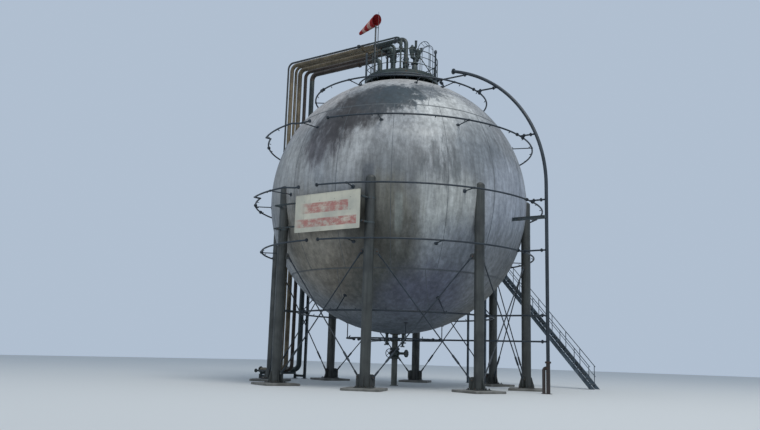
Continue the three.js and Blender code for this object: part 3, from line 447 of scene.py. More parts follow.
class Graph:
    """The node tree of one finish, with short ways to add nodes and join them."""

    def __init__(self, name: str, roughness: float, metallic: float) -> None:
        """Starts a material with one shader whose even values are set on its own sockets.

        Args:
            name: Name of the material.
            roughness: Its roughness.
            metallic: How metallic it is, from 0 to 1.
        """
        self.material = bpy.data.materials.new(name)
        self.material.use_nodes = True
        self.tree = self.material.node_tree
        self.tree.nodes.clear()
        self.shader = self.node("ShaderNodeBsdfPrincipled", Roughness=roughness, Metallic=metallic)
        output = self.node("ShaderNodeOutputMaterial")
        self.tree.links.new(self.shader.outputs["BSDF"], output.inputs["Surface"])

    def node(self, kind: str, settings: dict | None = None, numbered: dict | None = None,
             **named: Value) -> Node:
        """Adds a node.

        Args:
            kind: Blender's name of the node type.
            settings: Properties of the node itself.
            numbered: Values of its inputs by number.
            named: Values of its inputs by name, with spaces written as underscores.

        Returns:
            The node.
        """
        node = self.tree.nodes.new(kind)
        for key, value in (settings or {}).items():
            setattr(node, key, value)
        for key, value in (numbered or {}).items():
            self.put(node.inputs[key], value)
        for key, value in named.items():
            self.put(node.inputs[key.replace("_", " ")], value)
        return node

    def put(self, socket: Socket, value: Value) -> None:
        """Joins an output to an input, or sets the input's own value.

        Args:
            socket: The input.
            value: A node's output, a number, a vector, or a web colour.
        """
        if isinstance(value, Socket):
            self.tree.links.new(value, socket)
        else:
            socket.default_value = (*tone(value), 1.0) if isinstance(value, str) else value

    def place(self, shift: Colour = (0, 0, 0), scale: Colour = (1, 1, 1)) -> Socket:
        """Object coordinates, shifted and scaled."""
        source = self.node("ShaderNodeTexCoord").outputs["Object"]
        return self.node("ShaderNodeMapping", Vector=source, Location=shift, Scale=scale).outputs["Vector"]

    def noise(self, vector: Socket, scale: float, detail: float = 4.0, rough: float = 0.55) -> Socket:
        """Cloudy noise from 0 to 1."""
        node = self.node("ShaderNodeTexNoise", Vector=vector, Scale=scale, Detail=detail, Roughness=rough)
        return node.outputs["Fac"]

    def spread(self, value: Value, low: float, high: float, start: float = 0.0, end: float = 1.0) -> Socket:
        """A value eased from start to end as it goes from low to high."""
        limits = {"From_Min": low, "From_Max": high, "To_Min": start, "To_Max": end}
        return self.node("ShaderNodeMapRange", {"interpolation_type": "SMOOTHSTEP"}, Value=value,
                         **limits).outputs["Result"]

    def maths(self, operation: str, first: Value, second: Value = 0.0) -> Socket:
        """One sum, product or other operation on two values."""
        return self.node("ShaderNodeMath", {"operation": operation}, {0: first, 1: second}).outputs["Value"]

    def vector(self, operation: str, first: Value, second: Value = (0.0, 0.0, 0.0)) -> Node:
        """One operation on two vectors."""
        return self.node("ShaderNodeVectorMath", {"operation": operation}, {0: first, 1: second})

    def mix(self, share: Value, first: Value, second: Value) -> Socket:
        """The first colour with a share of the second over it."""
        return self.node("ShaderNodeMix", {"data_type": "RGBA"}, {0: share, 6: first, 7: second}).outputs[2]

    def done(self, colour: Value, height: Socket | None = None, distance: float = 0.002,
             strength: float = 0.4, rough: Socket | None = None) -> bpy.types.Material:
        """Joins colour, relief and roughness to the shader.

        Args:
            colour: The surface's colour.
            height: Relief from 0 to 1.
            distance: Depth of the relief in metres.
            strength: How strongly the relief shows.
            rough: Roughness where it varies.

        Returns:
            The finished material.
        """
        self.put(self.shader.inputs["Base Color"], colour)
        if height is not None:
            bump = self.node("ShaderNodeBump", Height=height, Distance=distance, Strength=strength)
            self.put(self.shader.inputs["Normal"], bump.outputs["Normal"])
        if rough is not None:
            self.put(self.shader.inputs["Roughness"], rough)
        return self.material


@dataclass(frozen=True)
class SteelPaint:
    """Weathered paint on steel: worn in clouds, run down in streaks, with specks of rust."""

    name: str
    clean: str
    worn: str
    grime: str
    rust_share: float = 0.12
    rust: str = "#5d3a24"
    streaks: float = 0.55
    roughness: float = 0.5
    metallic: float = 0.1
    patch_size: float = 0.6

    @lru_cache
    def material(self) -> bpy.types.Material:
        """Clouds mix the clean and the worn paint, tall thin noise adds grime, and peaks of fine noise rust.

        Returns:
            The material.
        """
        g = Graph(self.name, self.roughness, self.metallic)
        at = g.place()
        clouds = g.noise(at, 1 / self.patch_size, 5)
        colour = g.mix(g.spread(clouds, 0.38, 0.66), self.clean, self.worn)
        runs = g.noise(g.place(scale=(14, 14, 0.7)), 1.0, 4, 0.6)
        colour = g.mix(g.spread(runs, 0.45, 0.72, 0, self.streaks), colour, self.grime)
        specks = g.noise(at, 9.0, 6, 0.7)
        colour = g.mix(g.spread(specks, 0.76 - self.rust_share, 0.84 - self.rust_share), colour, self.rust)
        rough = g.spread(clouds, 0.3, 0.7, self.roughness - 0.12, self.roughness + 0.14)
        return g.done(colour, g.noise(at, 60.0, 3), 0.0015, 0.35, rough)


@dataclass(frozen=True)
class Concrete:
    """Cast concrete of the pads: pale, pitted and damp."""

    name: str = "cast_concrete"
    dry: str = "#7d7c77"
    damp: str = "#605f5a"
    pits: str = "#56554f"

    @lru_cache
    def material(self) -> bpy.types.Material:
        """Coarse and fine noise for the colour, with dark pits.

        Returns:
            The material.
        """
        g = Graph(self.name, 0.85, 0.0)
        at = g.place()
        colour = g.mix(g.spread(g.noise(at, 2.2, 6), 0.35, 0.65), self.dry, self.damp)
        colour = g.mix(g.spread(g.noise(at, 26.0, 4, 0.7), 0.6, 0.75), colour, self.pits)
        return g.done(colour, g.noise(at, 40.0, 6, 0.7), 0.004, 0.6)


@dataclass(frozen=True)
class Grating:
    """Galvanised open grating, drawn as fine bars both ways with its openings painted dark as shade, and
    rusty in patches.
    """

    name: str
    bar: str
    gap: str
    rust: str = "#4b3a2c"
    pitches: tuple[tuple[str, float], ...] = (("X", 5.3), ("Y", 1.6))

    @lru_cache
    def material(self) -> bpy.types.Material:
        """Two crossed bands of waves in x and y, with painted shade in the openings between the bars.

        Returns:
            The material.
        """
        g = Graph(self.name, 0.6, 0.4)
        at = g.place()
        lines = []
        for direction, scale in self.pitches:
            wave = g.node("ShaderNodeTexWave", {"bands_direction": direction}, Vector=at, Scale=scale)
            lines.append(g.spread(wave.outputs["Fac"], 0.45, 0.7))
        grid = g.maths("MAXIMUM", *lines)
        worn = g.spread(g.noise(at, 3.0, 5), 0.5, 0.75, 0, 0.6)
        # The gap colour is painted shade in the openings between the bars.
        return g.done(g.mix(worn, g.mix(grid, self.gap, self.bar), self.rust), grid, 0.012, 0.7)


@dataclass(frozen=True)
class StainOrShade:
    """A patch of the shell: its place, width, tone and cover, and the share of its width that is full.

    Some patches are weathered paint; others are painted light and shade.
    """

    azimuth: float
    elevation: float
    width: float
    colour: str
    cover: float
    core: float = 0.0


@dataclass(frozen=True)
class StreakOrShadow:
    """An upright band on the shell: azimuth, half its width, its two elevations, tone and cover.

    Some bands are runs on the paint; others are painted shadows.
    """

    azimuth: float
    half: float
    low: float
    high: float
    colour: str
    cover: float


@dataclass(frozen=True)
class ShellCoat:
    """The shell's aluminium paint: matt, mottled and streaked, darker below and pale on the crown.

    The darker lower half is partly dirt and partly painted shade, the pale crown is partly a painted
    highlight, and some patches are painted shadows of the platform and of the near leg.
    """

    name: str = "shell_aluminium_coat"
    pale: str = "#8d9092"
    dull: str = "#7d8083"
    seam: str = "#45484a"
    seam_elevation: float = SEAM_ELEVATION
    # Patches of weathered paint, and patches of painted light and shade, each one described below.
    stains_and_shades: tuple[StainOrShade, ...] = (
        # Pale crown: paint tone, partly a painted highlight on the top.
        StainOrShade(40, 88, 40, "#a8a6a2", 0.9),
        StainOrShade(-30, 44, 26, "#a39f9c", 0.8),
        StainOrShade(-24, 6, 24, "#a5a4a0", 0.7),
        StainOrShade(13, 12, 17, "#9b9c9b", 0.8),
        # Pale patch on the upper right: partly painted light.
        StainOrShade(56, 30, 24, "#aeb1b0", 0.95),
        StainOrShade(38, 19, 20, "#919495", 0.7),
        # Painted shadow of the platform on the crown.
        StainOrShade(48, 48, 10, "#50565b", 0.85, 0.4),
        StainOrShade(33, 30, 9, "#70757a", 0.5, 0.2),
        StainOrShade(-2, 17, 13, "#4f4c50", 0.9),
        StainOrShade(4, 27, 15, "#3b393b", 1.0, 0.2),
        StainOrShade(13, 36, 17, "#333233", 1.0, 0.35),
        StainOrShade(24, 41, 15, "#2e3439", 1.0, 0.4),
        StainOrShade(33, 42, 12, "#2a363d", 1.0, 0.45),
        StainOrShade(70, 16, 22, "#6b7176", 0.85),
        # Painted shadow of the near leg, beside it on the shell.
        StainOrShade(31, 1, 19, "#66696a", 0.9),
        StainOrShade(54, -12, 21, "#a8aaa6", 0.9),
        StainOrShade(90, -4, 26, "#a0a6b0", 0.85),
        StainOrShade(50, 10, 8, "#5f6365", 0.7),
        StainOrShade(51, 4, 8, "#5f6365", 0.7),
        # The lower half darker: partly dirt and partly painted shade of the underside.
        StainOrShade(-8, -26, 30, "#857f73", 0.95),
        # Painted shadow of the near leg, lower down.
        StainOrShade(27, -13, 19, "#66645a", 0.95),
        # Darker lower half, continued: partly dirt and partly painted shade.
        StainOrShade(26, -28, 22, "#52514a", 1.0),
        StainOrShade(12, -42, 22, "#6a645a", 0.9),
        StainOrShade(64, -31, 23, "#7f858e", 0.85),
        StainOrShade(30, -48, 24, "#505350", 1.0),
        StainOrShade(52, -52, 25, "#5f6373", 1.0),
        StainOrShade(95, -32, 26, "#787b7e", 0.9),
        StainOrShade(40, -84, 40, "#646c75", 0.9),
        StainOrShade(150, 20, 46, "#9a9fa1", 0.6),
        StainOrShade(-110, 10, 50, "#9a9fa1", 0.6),
        # The back's lower half darker too: partly dirt and partly painted shade.
        StainOrShade(-150, -35, 46, "#63625a", 0.9),
        StainOrShade(140, -45, 40, "#63625a", 0.9),
    )
    # Upright bands: runs on the paint, the near leg's painted shadow and the painted shade round its head.
    streaks: tuple[StreakOrShadow, ...] = (
        StreakOrShadow(33.5, 2.1, -24, -4, "#8e948f", 0.45),
        StreakOrShadow(34.0, 1.8, -33, -22, "#7c7e7a", 0.4),
        StreakOrShadow(56.3, 2.4, -2, 15, "#54595a", 0.5),
        StreakOrShadow(33.0, 2.0, -1, 9, "#4c5152", 0.4),
        # Painted shadow of the near leg, down its right side.
        StreakOrShadow(24.0, 1.8, -20, 0, "#4a4b47", 0.4),
        # Painted shade round the near leg's head, a contact shadow.
        StreakOrShadow(21.3, 3.0, -8, 7.5, "#484d54", 0.6),
    )

    def along(self, g: Graph, normal: Socket, way: Array) -> Socket:
        """The product n . w of the unit direction n with a way w."""
        return g.vector("DOT_PRODUCT", normal, tuple(way.tolist())).outputs["Value"]

    @lru_cache
    def material(self) -> bpy.types.Material:
        """Each patch's share rises as the direction from the sphere's middle nears the patch's own.

        With n the unit direction and s the patch's, the share is the eased step of n . s + wander, from the
        cosine of the patch's width to that of its core. The wander is noise that is long in z, so the
        patches' edges run down. An upright band's share falls with |n . t|, t the level way across it,
        between its elevations. Runs and specks then multiply the colour.
        Some patches and bands are painted light and shade.

        Returns:
            The material.
        """
        g = Graph(self.name, 0.6, 0.1)
        at = g.place(shift=(*(-AXIS[:2]).tolist(), -BALL.height))
        normal = g.vector("NORMALIZE", at).outputs["Vector"]
        runs = g.noise(g.place(scale=(3.2, 3.2, 0.5)), 1.0, 7, 0.7)
        wander = g.maths("MULTIPLY", g.maths("SUBTRACT", runs, 0.5), 0.07)
        colour = g.mix(g.spread(g.noise(at, 0.5, 6, 0.6), 0.35, 0.65), self.dull, self.pale)
        # Each patch is mixed in, weathered paint and painted light and shade alike.
        for mark in self.stains_and_shades:
            way = around(mark.azimuth, cosine(mark.elevation), sine(mark.elevation))
            near = g.maths("ADD", self.along(g, normal, way), wander)
            limits = cosine(mark.width), cosine(mark.width * mark.core)
            colour = g.mix(g.spread(near, *limits, 0, mark.cover), colour, mark.colour)
        height = g.node("ShaderNodeSeparateXYZ", Vector=normal).outputs["Z"]
        # Each upright band is mixed in, runs on the paint and painted shadows alike.
        for stripe in self.streaks:
            beside = self.along(g, normal, outwards(stripe.azimuth + 90))
            beside = g.maths("ABSOLUTE", g.maths("ADD", beside, g.maths("MULTIPLY", wander, 0.5)))
            share = g.spread(beside, 0.4 * sine(stripe.half), sine(stripe.half), stripe.cover, 0)
            low, high = sine(stripe.low), sine(stripe.high)
            share = g.maths("MULTIPLY", share, g.spread(height, low, low + 0.12))
            share = g.maths("MULTIPLY", share, g.spread(height, high - 0.05, high, 1, 0))
            colour = g.mix(share, colour, stripe.colour)
        shades = (
            g.spread(g.noise(g.place(scale=(6.0, 6.0, 0.3)), 1.0, 6, 0.65), 0.32, 0.68, 0.8, 1.2),
            g.spread(g.noise(g.place((3, 5, 1), (1.3, 1.3, 0.2)), 1.0, 5, 0.6), 0.34, 0.66, 0.86, 1.14),
            g.spread(g.noise(at, 4.5, 6, 0.75), 0.3, 0.7, 0.82, 1.18),
        )
        for shade in shades:
            colour = g.vector("MULTIPLY", colour, shade).outputs["Vector"]
        seam = g.maths("SUBTRACT", g.maths("ABSOLUTE", height), sine(self.seam_elevation))
        colour = g.mix(g.spread(g.maths("ABSOLUTE", seam), 0.0015, 0.01, 0.6, 0.0), colour, self.seam)
        rough = g.spread(g.noise(at, 0.9, 4), 0.3, 0.7, 0.5, 0.75)
        relief = g.maths("ADD", g.noise(at, 0.35, 2), g.maths("MULTIPLY", g.noise(at, 30.0, 3), 0.02))
        return g.done(colour, relief, 0.03, 0.5, rough)


@dataclass(frozen=True)
class Board:
    """The sign's sheet: faded cream enamel, run with dirt, with two plain broad red bands, worn pale.

    Each band has its start, end, low and high, from the tank's axis and the ground.
    """

    name: str = "faded_sign_enamel"
    cream: str = "#cfcab6"
    soiled: str = "#b5b3a4"
    dirt: str = "#8f8a78"
    red: str = "#a8524c"
    bands: tuple[tuple[float, float, float, float], ...] = ((-1.3, 2.14, 6.62, 7.0), (-0.95, 1.7, 7.22, 7.68))

    @lru_cache
    def material(self) -> bpy.types.Material:
        """Cream with clouds of dirt, and faded red within each band's ends and heights, worn by noise.

        Returns:
            The material.
        """
        g = Graph(self.name, 0.5, 0.0)
        at = g.place()
        colour = g.mix(g.spread(g.noise(at, 0.9, 5), 0.4, 0.7), self.cream, self.soiled)
        split = g.node("ShaderNodeSeparateXYZ", Vector=at)
        along, height = split.outputs["X"], split.outputs["Z"]
        worn = g.spread(g.noise(g.place(scale=(1, 1, 1.6)), 3.2, 6, 0.75), 0.34, 0.6, 0.12, 0.8)
        for start, end, low, high in self.bands:
            first, last = start + float(AXIS[0]), end + float(AXIS[0])
            inside = g.maths("MULTIPLY", g.spread(along, first, first + 0.7),
                             g.spread(along, last - 0.03, last, 1, 0))
            level = g.maths("MULTIPLY", g.spread(height, low, low + 0.02),
                            g.spread(height, high - 0.02, high, 1, 0))
            colour = g.mix(g.maths("MULTIPLY", g.maths("MULTIPLY", level, inside), worn), colour, self.red)
        runs = g.noise(g.place(scale=(9, 9, 0.6)), 1.0, 5, 0.6)
        colour = g.mix(g.spread(runs, 0.55, 0.75, 0, 0.35), colour, self.dirt)
        return g.done(colour, g.noise(at, 50.0, 3), 0.001, 0.3)


@dataclass(frozen=True)
class BandedCloth:
    """Windsock nylon in five bands, red and dulled pink in turn, soiled, with a fine weave."""

    name: str = "banded_windsock_nylon"
    pale_bands: tuple[tuple[float, float], ...] = ((0.2, 0.4), (0.6, 0.76))
    reds: tuple[str, str] = ("#a01d20", "#8a1f22")
    pinks: tuple[str, str] = ("#c99e92", "#a8776c")

    @lru_cache
    def material(self) -> bpy.types.Material:
        """The share of the length, kept in the attribute along, picks the band, and fine noise is the weave.

        Returns:
            The material.
        """
        g = Graph(self.name, 0.85, 0.0)
        share = g.node("ShaderNodeAttribute", {"attribute_name": "along"}).outputs["Fac"]
        pale = 0.0
        for start, end in self.pale_bands:
            after, before = g.maths("GREATER_THAN", share, start), g.maths("LESS_THAN", share, end)
            pale = g.maths("ADD", g.maths("MULTIPLY", after, before), pale)
        at = g.place()
        bleach = g.spread(g.noise(at, 5.0, 5), 0.4, 0.7)
        colour = g.mix(pale, g.mix(bleach, *self.reds), g.mix(bleach, *self.pinks))
        return g.done(colour, g.noise(at, 900.0, 2), 0.0004, 0.4)


LEG_PAINT = SteelPaint("leg_slate_grey", "#424542", "#363938", "#262929", 0.1)
NAVY_PAINT = SteelPaint("spray_pipe_dark", "#222b33", "#313b43", "#171c20", 0.1)
RUSTY_FOOT = SteelPaint("riser_foot_rusty", "#413733", "#352e2b", "#221e1c", 0.16)
CLADDING = {"streaks": 0.6, "roughness": 0.42, "metallic": 0.25}
PIPE_CLAD = SteelPaint("pipe_cladding_brown", "#7a6e58", "#5d5342", "#332d23", 0.16, **CLADDING)
DARK_CLAD = SteelPaint("pipe_cladding_dark", "#4b4038", "#3b332f", "#221e1c", 0.16, **CLADDING)
LIQUID_CLAD = SteelPaint("pipe_cladding_slate", "#2c3638", "#384241", "#1a2122", 0.1)
THIN_PIPE = SteelPaint("thin_pipe_black", "#2c3032", "#3d4142", "#1c1f20")
DECK_PAINT = SteelPaint("platform_green_grey", "#2e3938", "#3f4a48", "#1d2525", 0.16)
STAIR_PAINT = SteelPaint("stair_blue_grey", "#56646f", "#414c55", "#2b3238")
RACK_PAINT = SteelPaint("rack_slate", "#3a4548", "#505a5c", "#22292b", 0.18)
BOLT_STEEL = SteelPaint("bolt_steel", "#4b4c4a", "#6a6a66", "#2b2a28", 0.25, metallic=0.6, patch_size=0.1)
BEAD_STEEL = SteelPaint("weld_bead_dark", "#4c5256", "#5f666a", "#303437")
MAST_PAINT = SteelPaint("mast_slate", "#20282b", "#2b3336", "#171c1e", 0.1)
SOCK_FRAME = SteelPaint("windsock_frame_red", "#7c2521", "#5f211e", "#341918")
OUTLET_PAINT = SteelPaint("outlet_grey", "#5f625c", "#4c4f4a", "#2c2e2b", 0.14)
WHEEL_PAINT = SteelPaint("valve_wheel_dark", "#2b2935", "#37343f", "#1a181f")
CONCRETE = Concrete()
SHELL_COAT = ShellCoat()
SIGN_FACE = Board()
SOCK_CLOTH = BandedCloth()
SOCK_LINING = BandedCloth("windsock_lining", ())
# The dark second tone of each grating is painted shade in its openings.
STAIR_GRATING = Grating("stair_grating", "#6b7478", "#1f2426")
DECK_GRATING = Grating("deck_grating", "#5b6462", "#1b2120")

Finish = SteelPaint | Concrete | Grating | ShellCoat | Board | BandedCloth


# Pieces of the scene


class Slot(Enum):
    """The record's material slots."""

    SHELL = "weathered_silver_shell"
    LEG = "slate_leg"
    NAVY = "navy_steel"
    PIPE = "pipe_paint"
    DECK = "green_grey_steel"
    STAIR = "blue_grey_steel"
    SLATE = "slate_steel"
    BOARD = "cream_board"
    CLOTH = "windsock_cloth"


def placed(name: str, data: bpy.types.ID) -> bpy.types.Object:
    """Puts a mesh, light or camera in the scene.

    Args:
        name: Name of the new object.
        data: What it shows.

    Returns:
        The object.
    """
    made = bpy.data.objects.new(name, data)
    bpy.context.scene.collection.objects.link(made)
    return made


def meshed(name: str, points: Array, faces: list[list[int]], finishes: list[Finish]) -> bpy.types.Mesh:
    """Makes a smooth mesh with its materials.

    Args:
        name: Name of the mesh.
        points: Its points in the frame's own place.
        faces: Corners of each face.
        finishes: Its finishes in order.

    Returns:
        The mesh.
    """
    mesh = bpy.data.meshes.new(name)
    mesh.from_pydata(points, [], faces)
    for finish in finishes:
        mesh.materials.append(finish.material())
    mesh.polygons.foreach_set("use_smooth", np.ones(len(mesh.polygons), bool))
    return mesh


class Kit:
    """Collects the surfaces of one piece of the plant with their finishes, and makes it one object."""

    def __init__(self) -> None:
        """Starts with nothing in it."""
        self.parts: list[tuple[Skin, Finish]] = []

    def add(self, finish: Finish, *skins: Skin) -> None:
        """Adds surfaces that share one finish."""
        self.parts += [(skin, finish) for skin in skins]

    def build(self, name: str, slot: Slot, *nodes: str, body: str = "tank") -> bpy.types.Object:
        """Makes the object, puts it in the scene and ties it to the frame.

        Args:
            name: Name of the new piece.
            slot: The record's slot for the piece; not used.
            nodes: CAD nodes that it stands for.
            body: The CAD body that it rides on.

        Returns:
            The object, at the origin, with its place in its mesh.
        """
        whole = joined(*(skin for skin, _ in self.parts))
        finishes = list(dict.fromkeys(finish for _, finish in self.parts))
        faces = [row for rows in whole.faces for row in rows.tolist()]
        mesh = meshed(name, whole.points + AXIS, faces, finishes)
        counts = [sum(len(rows) for rows in skin.faces) for skin, _ in self.parts]
        index = np.repeat([finishes.index(finish) for _, finish in self.parts], counts)
        mesh.polygons.foreach_set("material_index", index.astype(np.int32))
        mesh.set_sharp_from_angle(angle=SHARP_ANGLE)
        mesh.update()
        made = placed(name, mesh)
        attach(made, body)
        if nodes:
            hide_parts(*nodes)
        LOG.info("%s: %d faces", name, len(mesh.polygons))
        return made


# Sub-assemblies


@dataclass
class Shell:
    """The welded shell: two crowns and an equator belt, with weld beads along every seam."""

    belt_angle: float = SEAM_ELEVATION
    manhole_radius: float = MANHOLE_RADIUS
    drain_radius: float = 0.15
    meridian_seams: int = 16
    crown_seams: tuple[float, ...] = (25.0, 115.0, 205.0, 295.0)
    crown_cut: float = 1.9
    bead_width: float = 0.034
    bead_height: float = 0.007
    bead_sunk: float = 0.006
    trim: float = 0.003

    def zone(self, low: float, high: float) -> Skin:
        """A ring of plate between two elevations: an arc outside, an arc inside, turned round the axis.

        Args:
            low: Elevation of its lower edge.
            high: Elevation of its upper edge.

        Returns:
            The plate.
        """
        elevation = np.linspace(low, high, max(12, int((high - low) / 1.6)))
        azimuth = np.arange(0, 360, 2.0)[:, None]
        arcs = BALL.at(azimuth, elevation), BALL.at(azimuth, elevation[::-1], -BALL.plate)
        return loft(np.concatenate(arcs, axis=1), closed=True)

    def level_bead(self, elevation: float) -> Skin:
        """A flat bead round a level seam: a low ridge turned round the axis.

        Args:
            elevation: Elevation of the seam.

        Returns:
            The bead.
        """
        half = math.degrees(self.bead_width / 2 / BALL.radius)
        azimuth = np.arange(0, 360, 2.0)
        high = self.bead_height
        section = ((-1.0, -0.004), (-0.5, high), (0.5, high), (1.0, -0.004), (0.0, -0.012))
        edges = [BALL.at(azimuth, elevation + half * share, lift) for share, lift in section]
        return loft(np.stack(edges, axis=1), closed=True)

    def bead_along(self, path: Array, normal: Array) -> Skin:
        """A half-sunk round bead along a seam that lies in one plane."""
        return tube(path, self.bead_width / 2.6, normal, 6)

    def belt_beads(self) -> list[Skin]:
        """Beads down the meridians between the belt's plates, and round both of its edges.

        Returns:
            The beads.
        """
        elevation = np.linspace(-self.belt_angle, self.belt_angle, 40)
        azimuths = 360 * (np.arange(self.meridian_seams) + 0.35) / self.meridian_seams
        upright = [self.bead_along(BALL.at(a, elevation, -self.bead_sunk), outwards(a + 90))
                   for a in azimuths]
        return [*upright, self.level_bead(self.belt_angle), self.level_bead(-self.belt_angle)]

    def crown_beads(self, side: int) -> list[Skin]:
        """Beads between a crown's plates, where upright planes beside the axis cut the sphere.

        In a plane at distance c from the axis the seam is an arc of radius sqrt(r^2 - c^2), kept where it is
        beyond the belt.

        Args:
            side: 1 for the top crown, -1 for the bottom one.

        Returns:
            The beads.
        """
        radius = math.sqrt((BALL.radius - self.bead_sunk) ** 2 - self.crown_cut**2)
        limit = math.acos(sine(self.belt_angle) * BALL.radius / radius)
        turn = np.linspace(-limit, limit, 60)
        beads = []
        for azimuth in self.crown_seams:
            off = outwards(azimuth, self.crown_cut)
            path = off + BALL.height * UP + radius * spokes(turn, side * UP, outwards(azimuth + 90))
            beads.append(self.bead_along(path, off))
        return beads

    def build(self) -> None:
        """Makes the three zones, each with the beads on it."""
        holes = self.manhole_radius, self.drain_radius
        manhole, drain = (math.degrees(math.acos(radius / BALL.radius)) for radius in holes)
        zones = {
            "top_crown": (self.belt_angle + self.trim, manhole, self.crown_beads(1)),
            "equator_belt": (-self.belt_angle + self.trim, self.belt_angle - self.trim, self.belt_beads()),
            "bottom_crown": (-drain, -self.belt_angle - self.trim, self.crown_beads(-1)),
        }
        for name, (low, high, beads) in zones.items():
            kit = Kit()
            kit.add(SHELL_COAT, self.zone(low, high))
            kit.add(BEAD_STEEL, *beads)
            kit.build(f"shell_{name}_plates", Slot.SHELL, f"shell_{name}")


@dataclass
class Supports:
    """Eight tubular legs on concrete pads, with crossed tie rods in each bay."""

    count: int = 8
    circle: float = 6.15
    radius: float = 0.213
    top: float = 8.75
    cap: float = 0.14
    pad: float = 1.58
    pad_height: float = 0.1
    base_plate: float = 0.73
    base_thick: float = 0.032
    bolt_lines: tuple[float, ...] = (-0.3, -0.12, 0.12, 0.3)
    gusset_height: float = 0.47
    gusset_thick: float = 0.02
    lug_height: float = 0.26
    lug_length: float = 0.42
    lug_thick: float = 0.024
    rod_radius: float = 0.027
    rod_reach: float = 0.33
    rod_top: float = 5.56
    rod_foot: float = 0.5
    foot_lug: float = 0.5
    doubler_half: float = 3.6
    doubler_low: float = -13.0
    doubler_high: float = 5.0

    def azimuth(self, index: int) -> float:
        """Azimuth of a leg."""
        return 360 / self.count * (index + 0.5)

    def towards(self, index: int, step: int) -> Array:
        """Direction from a leg to its neighbour."""
        here = around(self.azimuth(index), self.circle, 0.0)
        return unit(around(self.azimuth(index + step), self.circle, 0.0) - here)

    def column(self, azimuth: float) -> Skin:
        """The pipe with its domed cap: the last rings follow a quarter of a flattened circle.

        Args:
            azimuth: Azimuth of the leg.

        Returns:
            The column.
        """
        turn = np.linspace(0, math.pi / 2, 8)[:-1]
        height = self.top - self.pad_height
        dome = [(height - self.cap + self.cap * math.sin(t), self.radius * math.cos(t)) for t in turn]
        profile = [(0, self.radius), *dome, (height, 0.012)]
        return spun(around(azimuth, self.circle, self.pad_height), UP, profile, 40)

    def gussets(self, azimuth: float) -> list[Skin]:
        """Four tapered fins between the column and its base plate.

        Args:
            azimuth: Azimuth of the leg.

        Returns:
            The fins.
        """
        inner, outer = self.radius - 0.023, self.base_plate / 2 - 0.01
        outline = [[inner, 0], [outer, 0], [outer, 0.05], [self.radius + 0.02, self.gusset_height],
                   [inner, self.gusset_height]]
        origin = around(azimuth, self.circle, self.pad_height + self.base_thick)
        return [fin(outline, origin, outwards(turn), outwards(turn + 90, self.gusset_thick))
                for turn in azimuth + np.arange(0, 360, 90)]

    def lug(self, index: int, step: int, height: float) -> Skin:
        """A lug in the plane of a bay: with a rounded nose above, down to the base plate at the foot.

        Args:
            index: Number of the leg.
            step: 1 for the bay after the leg, -1 for the bay before it.
            height: Height of its pin.

        Returns:
            The lug.
        """
        low, high = -self.lug_height / 2, self.lug_height / 2
        if height == self.rod_foot:
            low = self.pad_height + self.base_thick - height
            high = low + self.foot_lug
        far = self.lug_length
        outline = [[0.17, low], [far - 0.05, low], [far, low + 0.06], [far, high - 0.1],
                   [far - 0.03, high - 0.04], [far - 0.1, high], [0.17, high]]
        along = self.towards(index, step)
        origin = around(self.azimuth(index), self.circle, height)
        return fin(outline, origin, along, np.cross(UP, along) * self.lug_thick)

    def doubler(self, azimuth: float) -> Skin:
        """A plate on the shell behind the leg's head, bent to the sphere, 12 mm proud.

        Its edge runs through (c, s), the cosine and the sine of a turn, each raised to the power 0.4 with its
        sign kept, so that it is a rectangle with round corners. The rings draw it in to its middle.

        Args:
            azimuth: Azimuth of the leg.

        Returns:
            The plate.
        """
        turn = np.linspace(0, 2 * np.pi, 33)[:-1]
        wide, tall = (np.sign(v) * np.abs(v) ** 0.4 for v in (np.cos(turn), np.sin(turn)))
        middle, half = (self.doubler_low + self.doubler_high) / 2, (self.doubler_high - self.doubler_low) / 2
        rings = [BALL.at(azimuth + share * self.doubler_half * wide, middle + share * half * tall, lift)
                 for share, lift in ((0.02, 0.012), (0.5, 0.012), (0.97, 0.012), (1.0, 0.009), (1.0, -0.01),
                                     (0.02, -0.01))]
        return loft(np.stack(rings))

    def leg(self, index: int) -> None:
        """Makes one leg with all that is welded and bolted to it.

        Args:
            index: Number of the leg.
        """
        azimuth = self.azimuth(index)
        axes = np.array([outwards(azimuth + 90), outwards(azimuth + 180), UP])
        foot = around(azimuth, self.circle, 0.0)
        base = foot + UP * (self.pad_height + self.base_thick / 2)
        size = (self.pad, self.pad, self.pad_height)
        kit = Kit()
        kit.add(CONCRETE, block(foot + UP * self.pad_height / 2, size, axes, 0.02))
        kit.add(LEG_PAINT, self.column(azimuth), *self.gussets(azimuth),
                block(base, (self.base_plate, self.base_plate, self.base_thick), axes, 0.004))
        lines = self.bolt_lines
        places = np.array([[x, y] for x in lines for y in lines if max(abs(x), abs(y)) > 0.2])
        kit.add(BOLT_STEEL, scatter(stud(0.036, 0.05), base + places @ axes[:2] + UP * 0.004, axes))
        kit.add(SHELL_COAT, self.doubler(azimuth))
        pin = [(0, 0.03), (0.012, 0.036), (0.024, 0.036), (0.024, 0.024), (0.126, 0.024), (0.126, 0.036),
               (0.138, 0.036), (0.15, 0.03)]
        for step in (-1, 1):
            along = self.towards(index, step)
            across = np.cross(UP, along)
            for height in (self.rod_top, self.rod_foot):
                middle = around(azimuth, self.circle, height) + along * self.rod_reach
                kit.add(LEG_PAINT, self.lug(index, step, height))
                kit.add(BOLT_STEEL, spun(middle - 0.075 * across, across, pin, 12))
        kit.build(f"leg_{index + 1}_column", Slot.LEG, f"leg_{index + 1}")

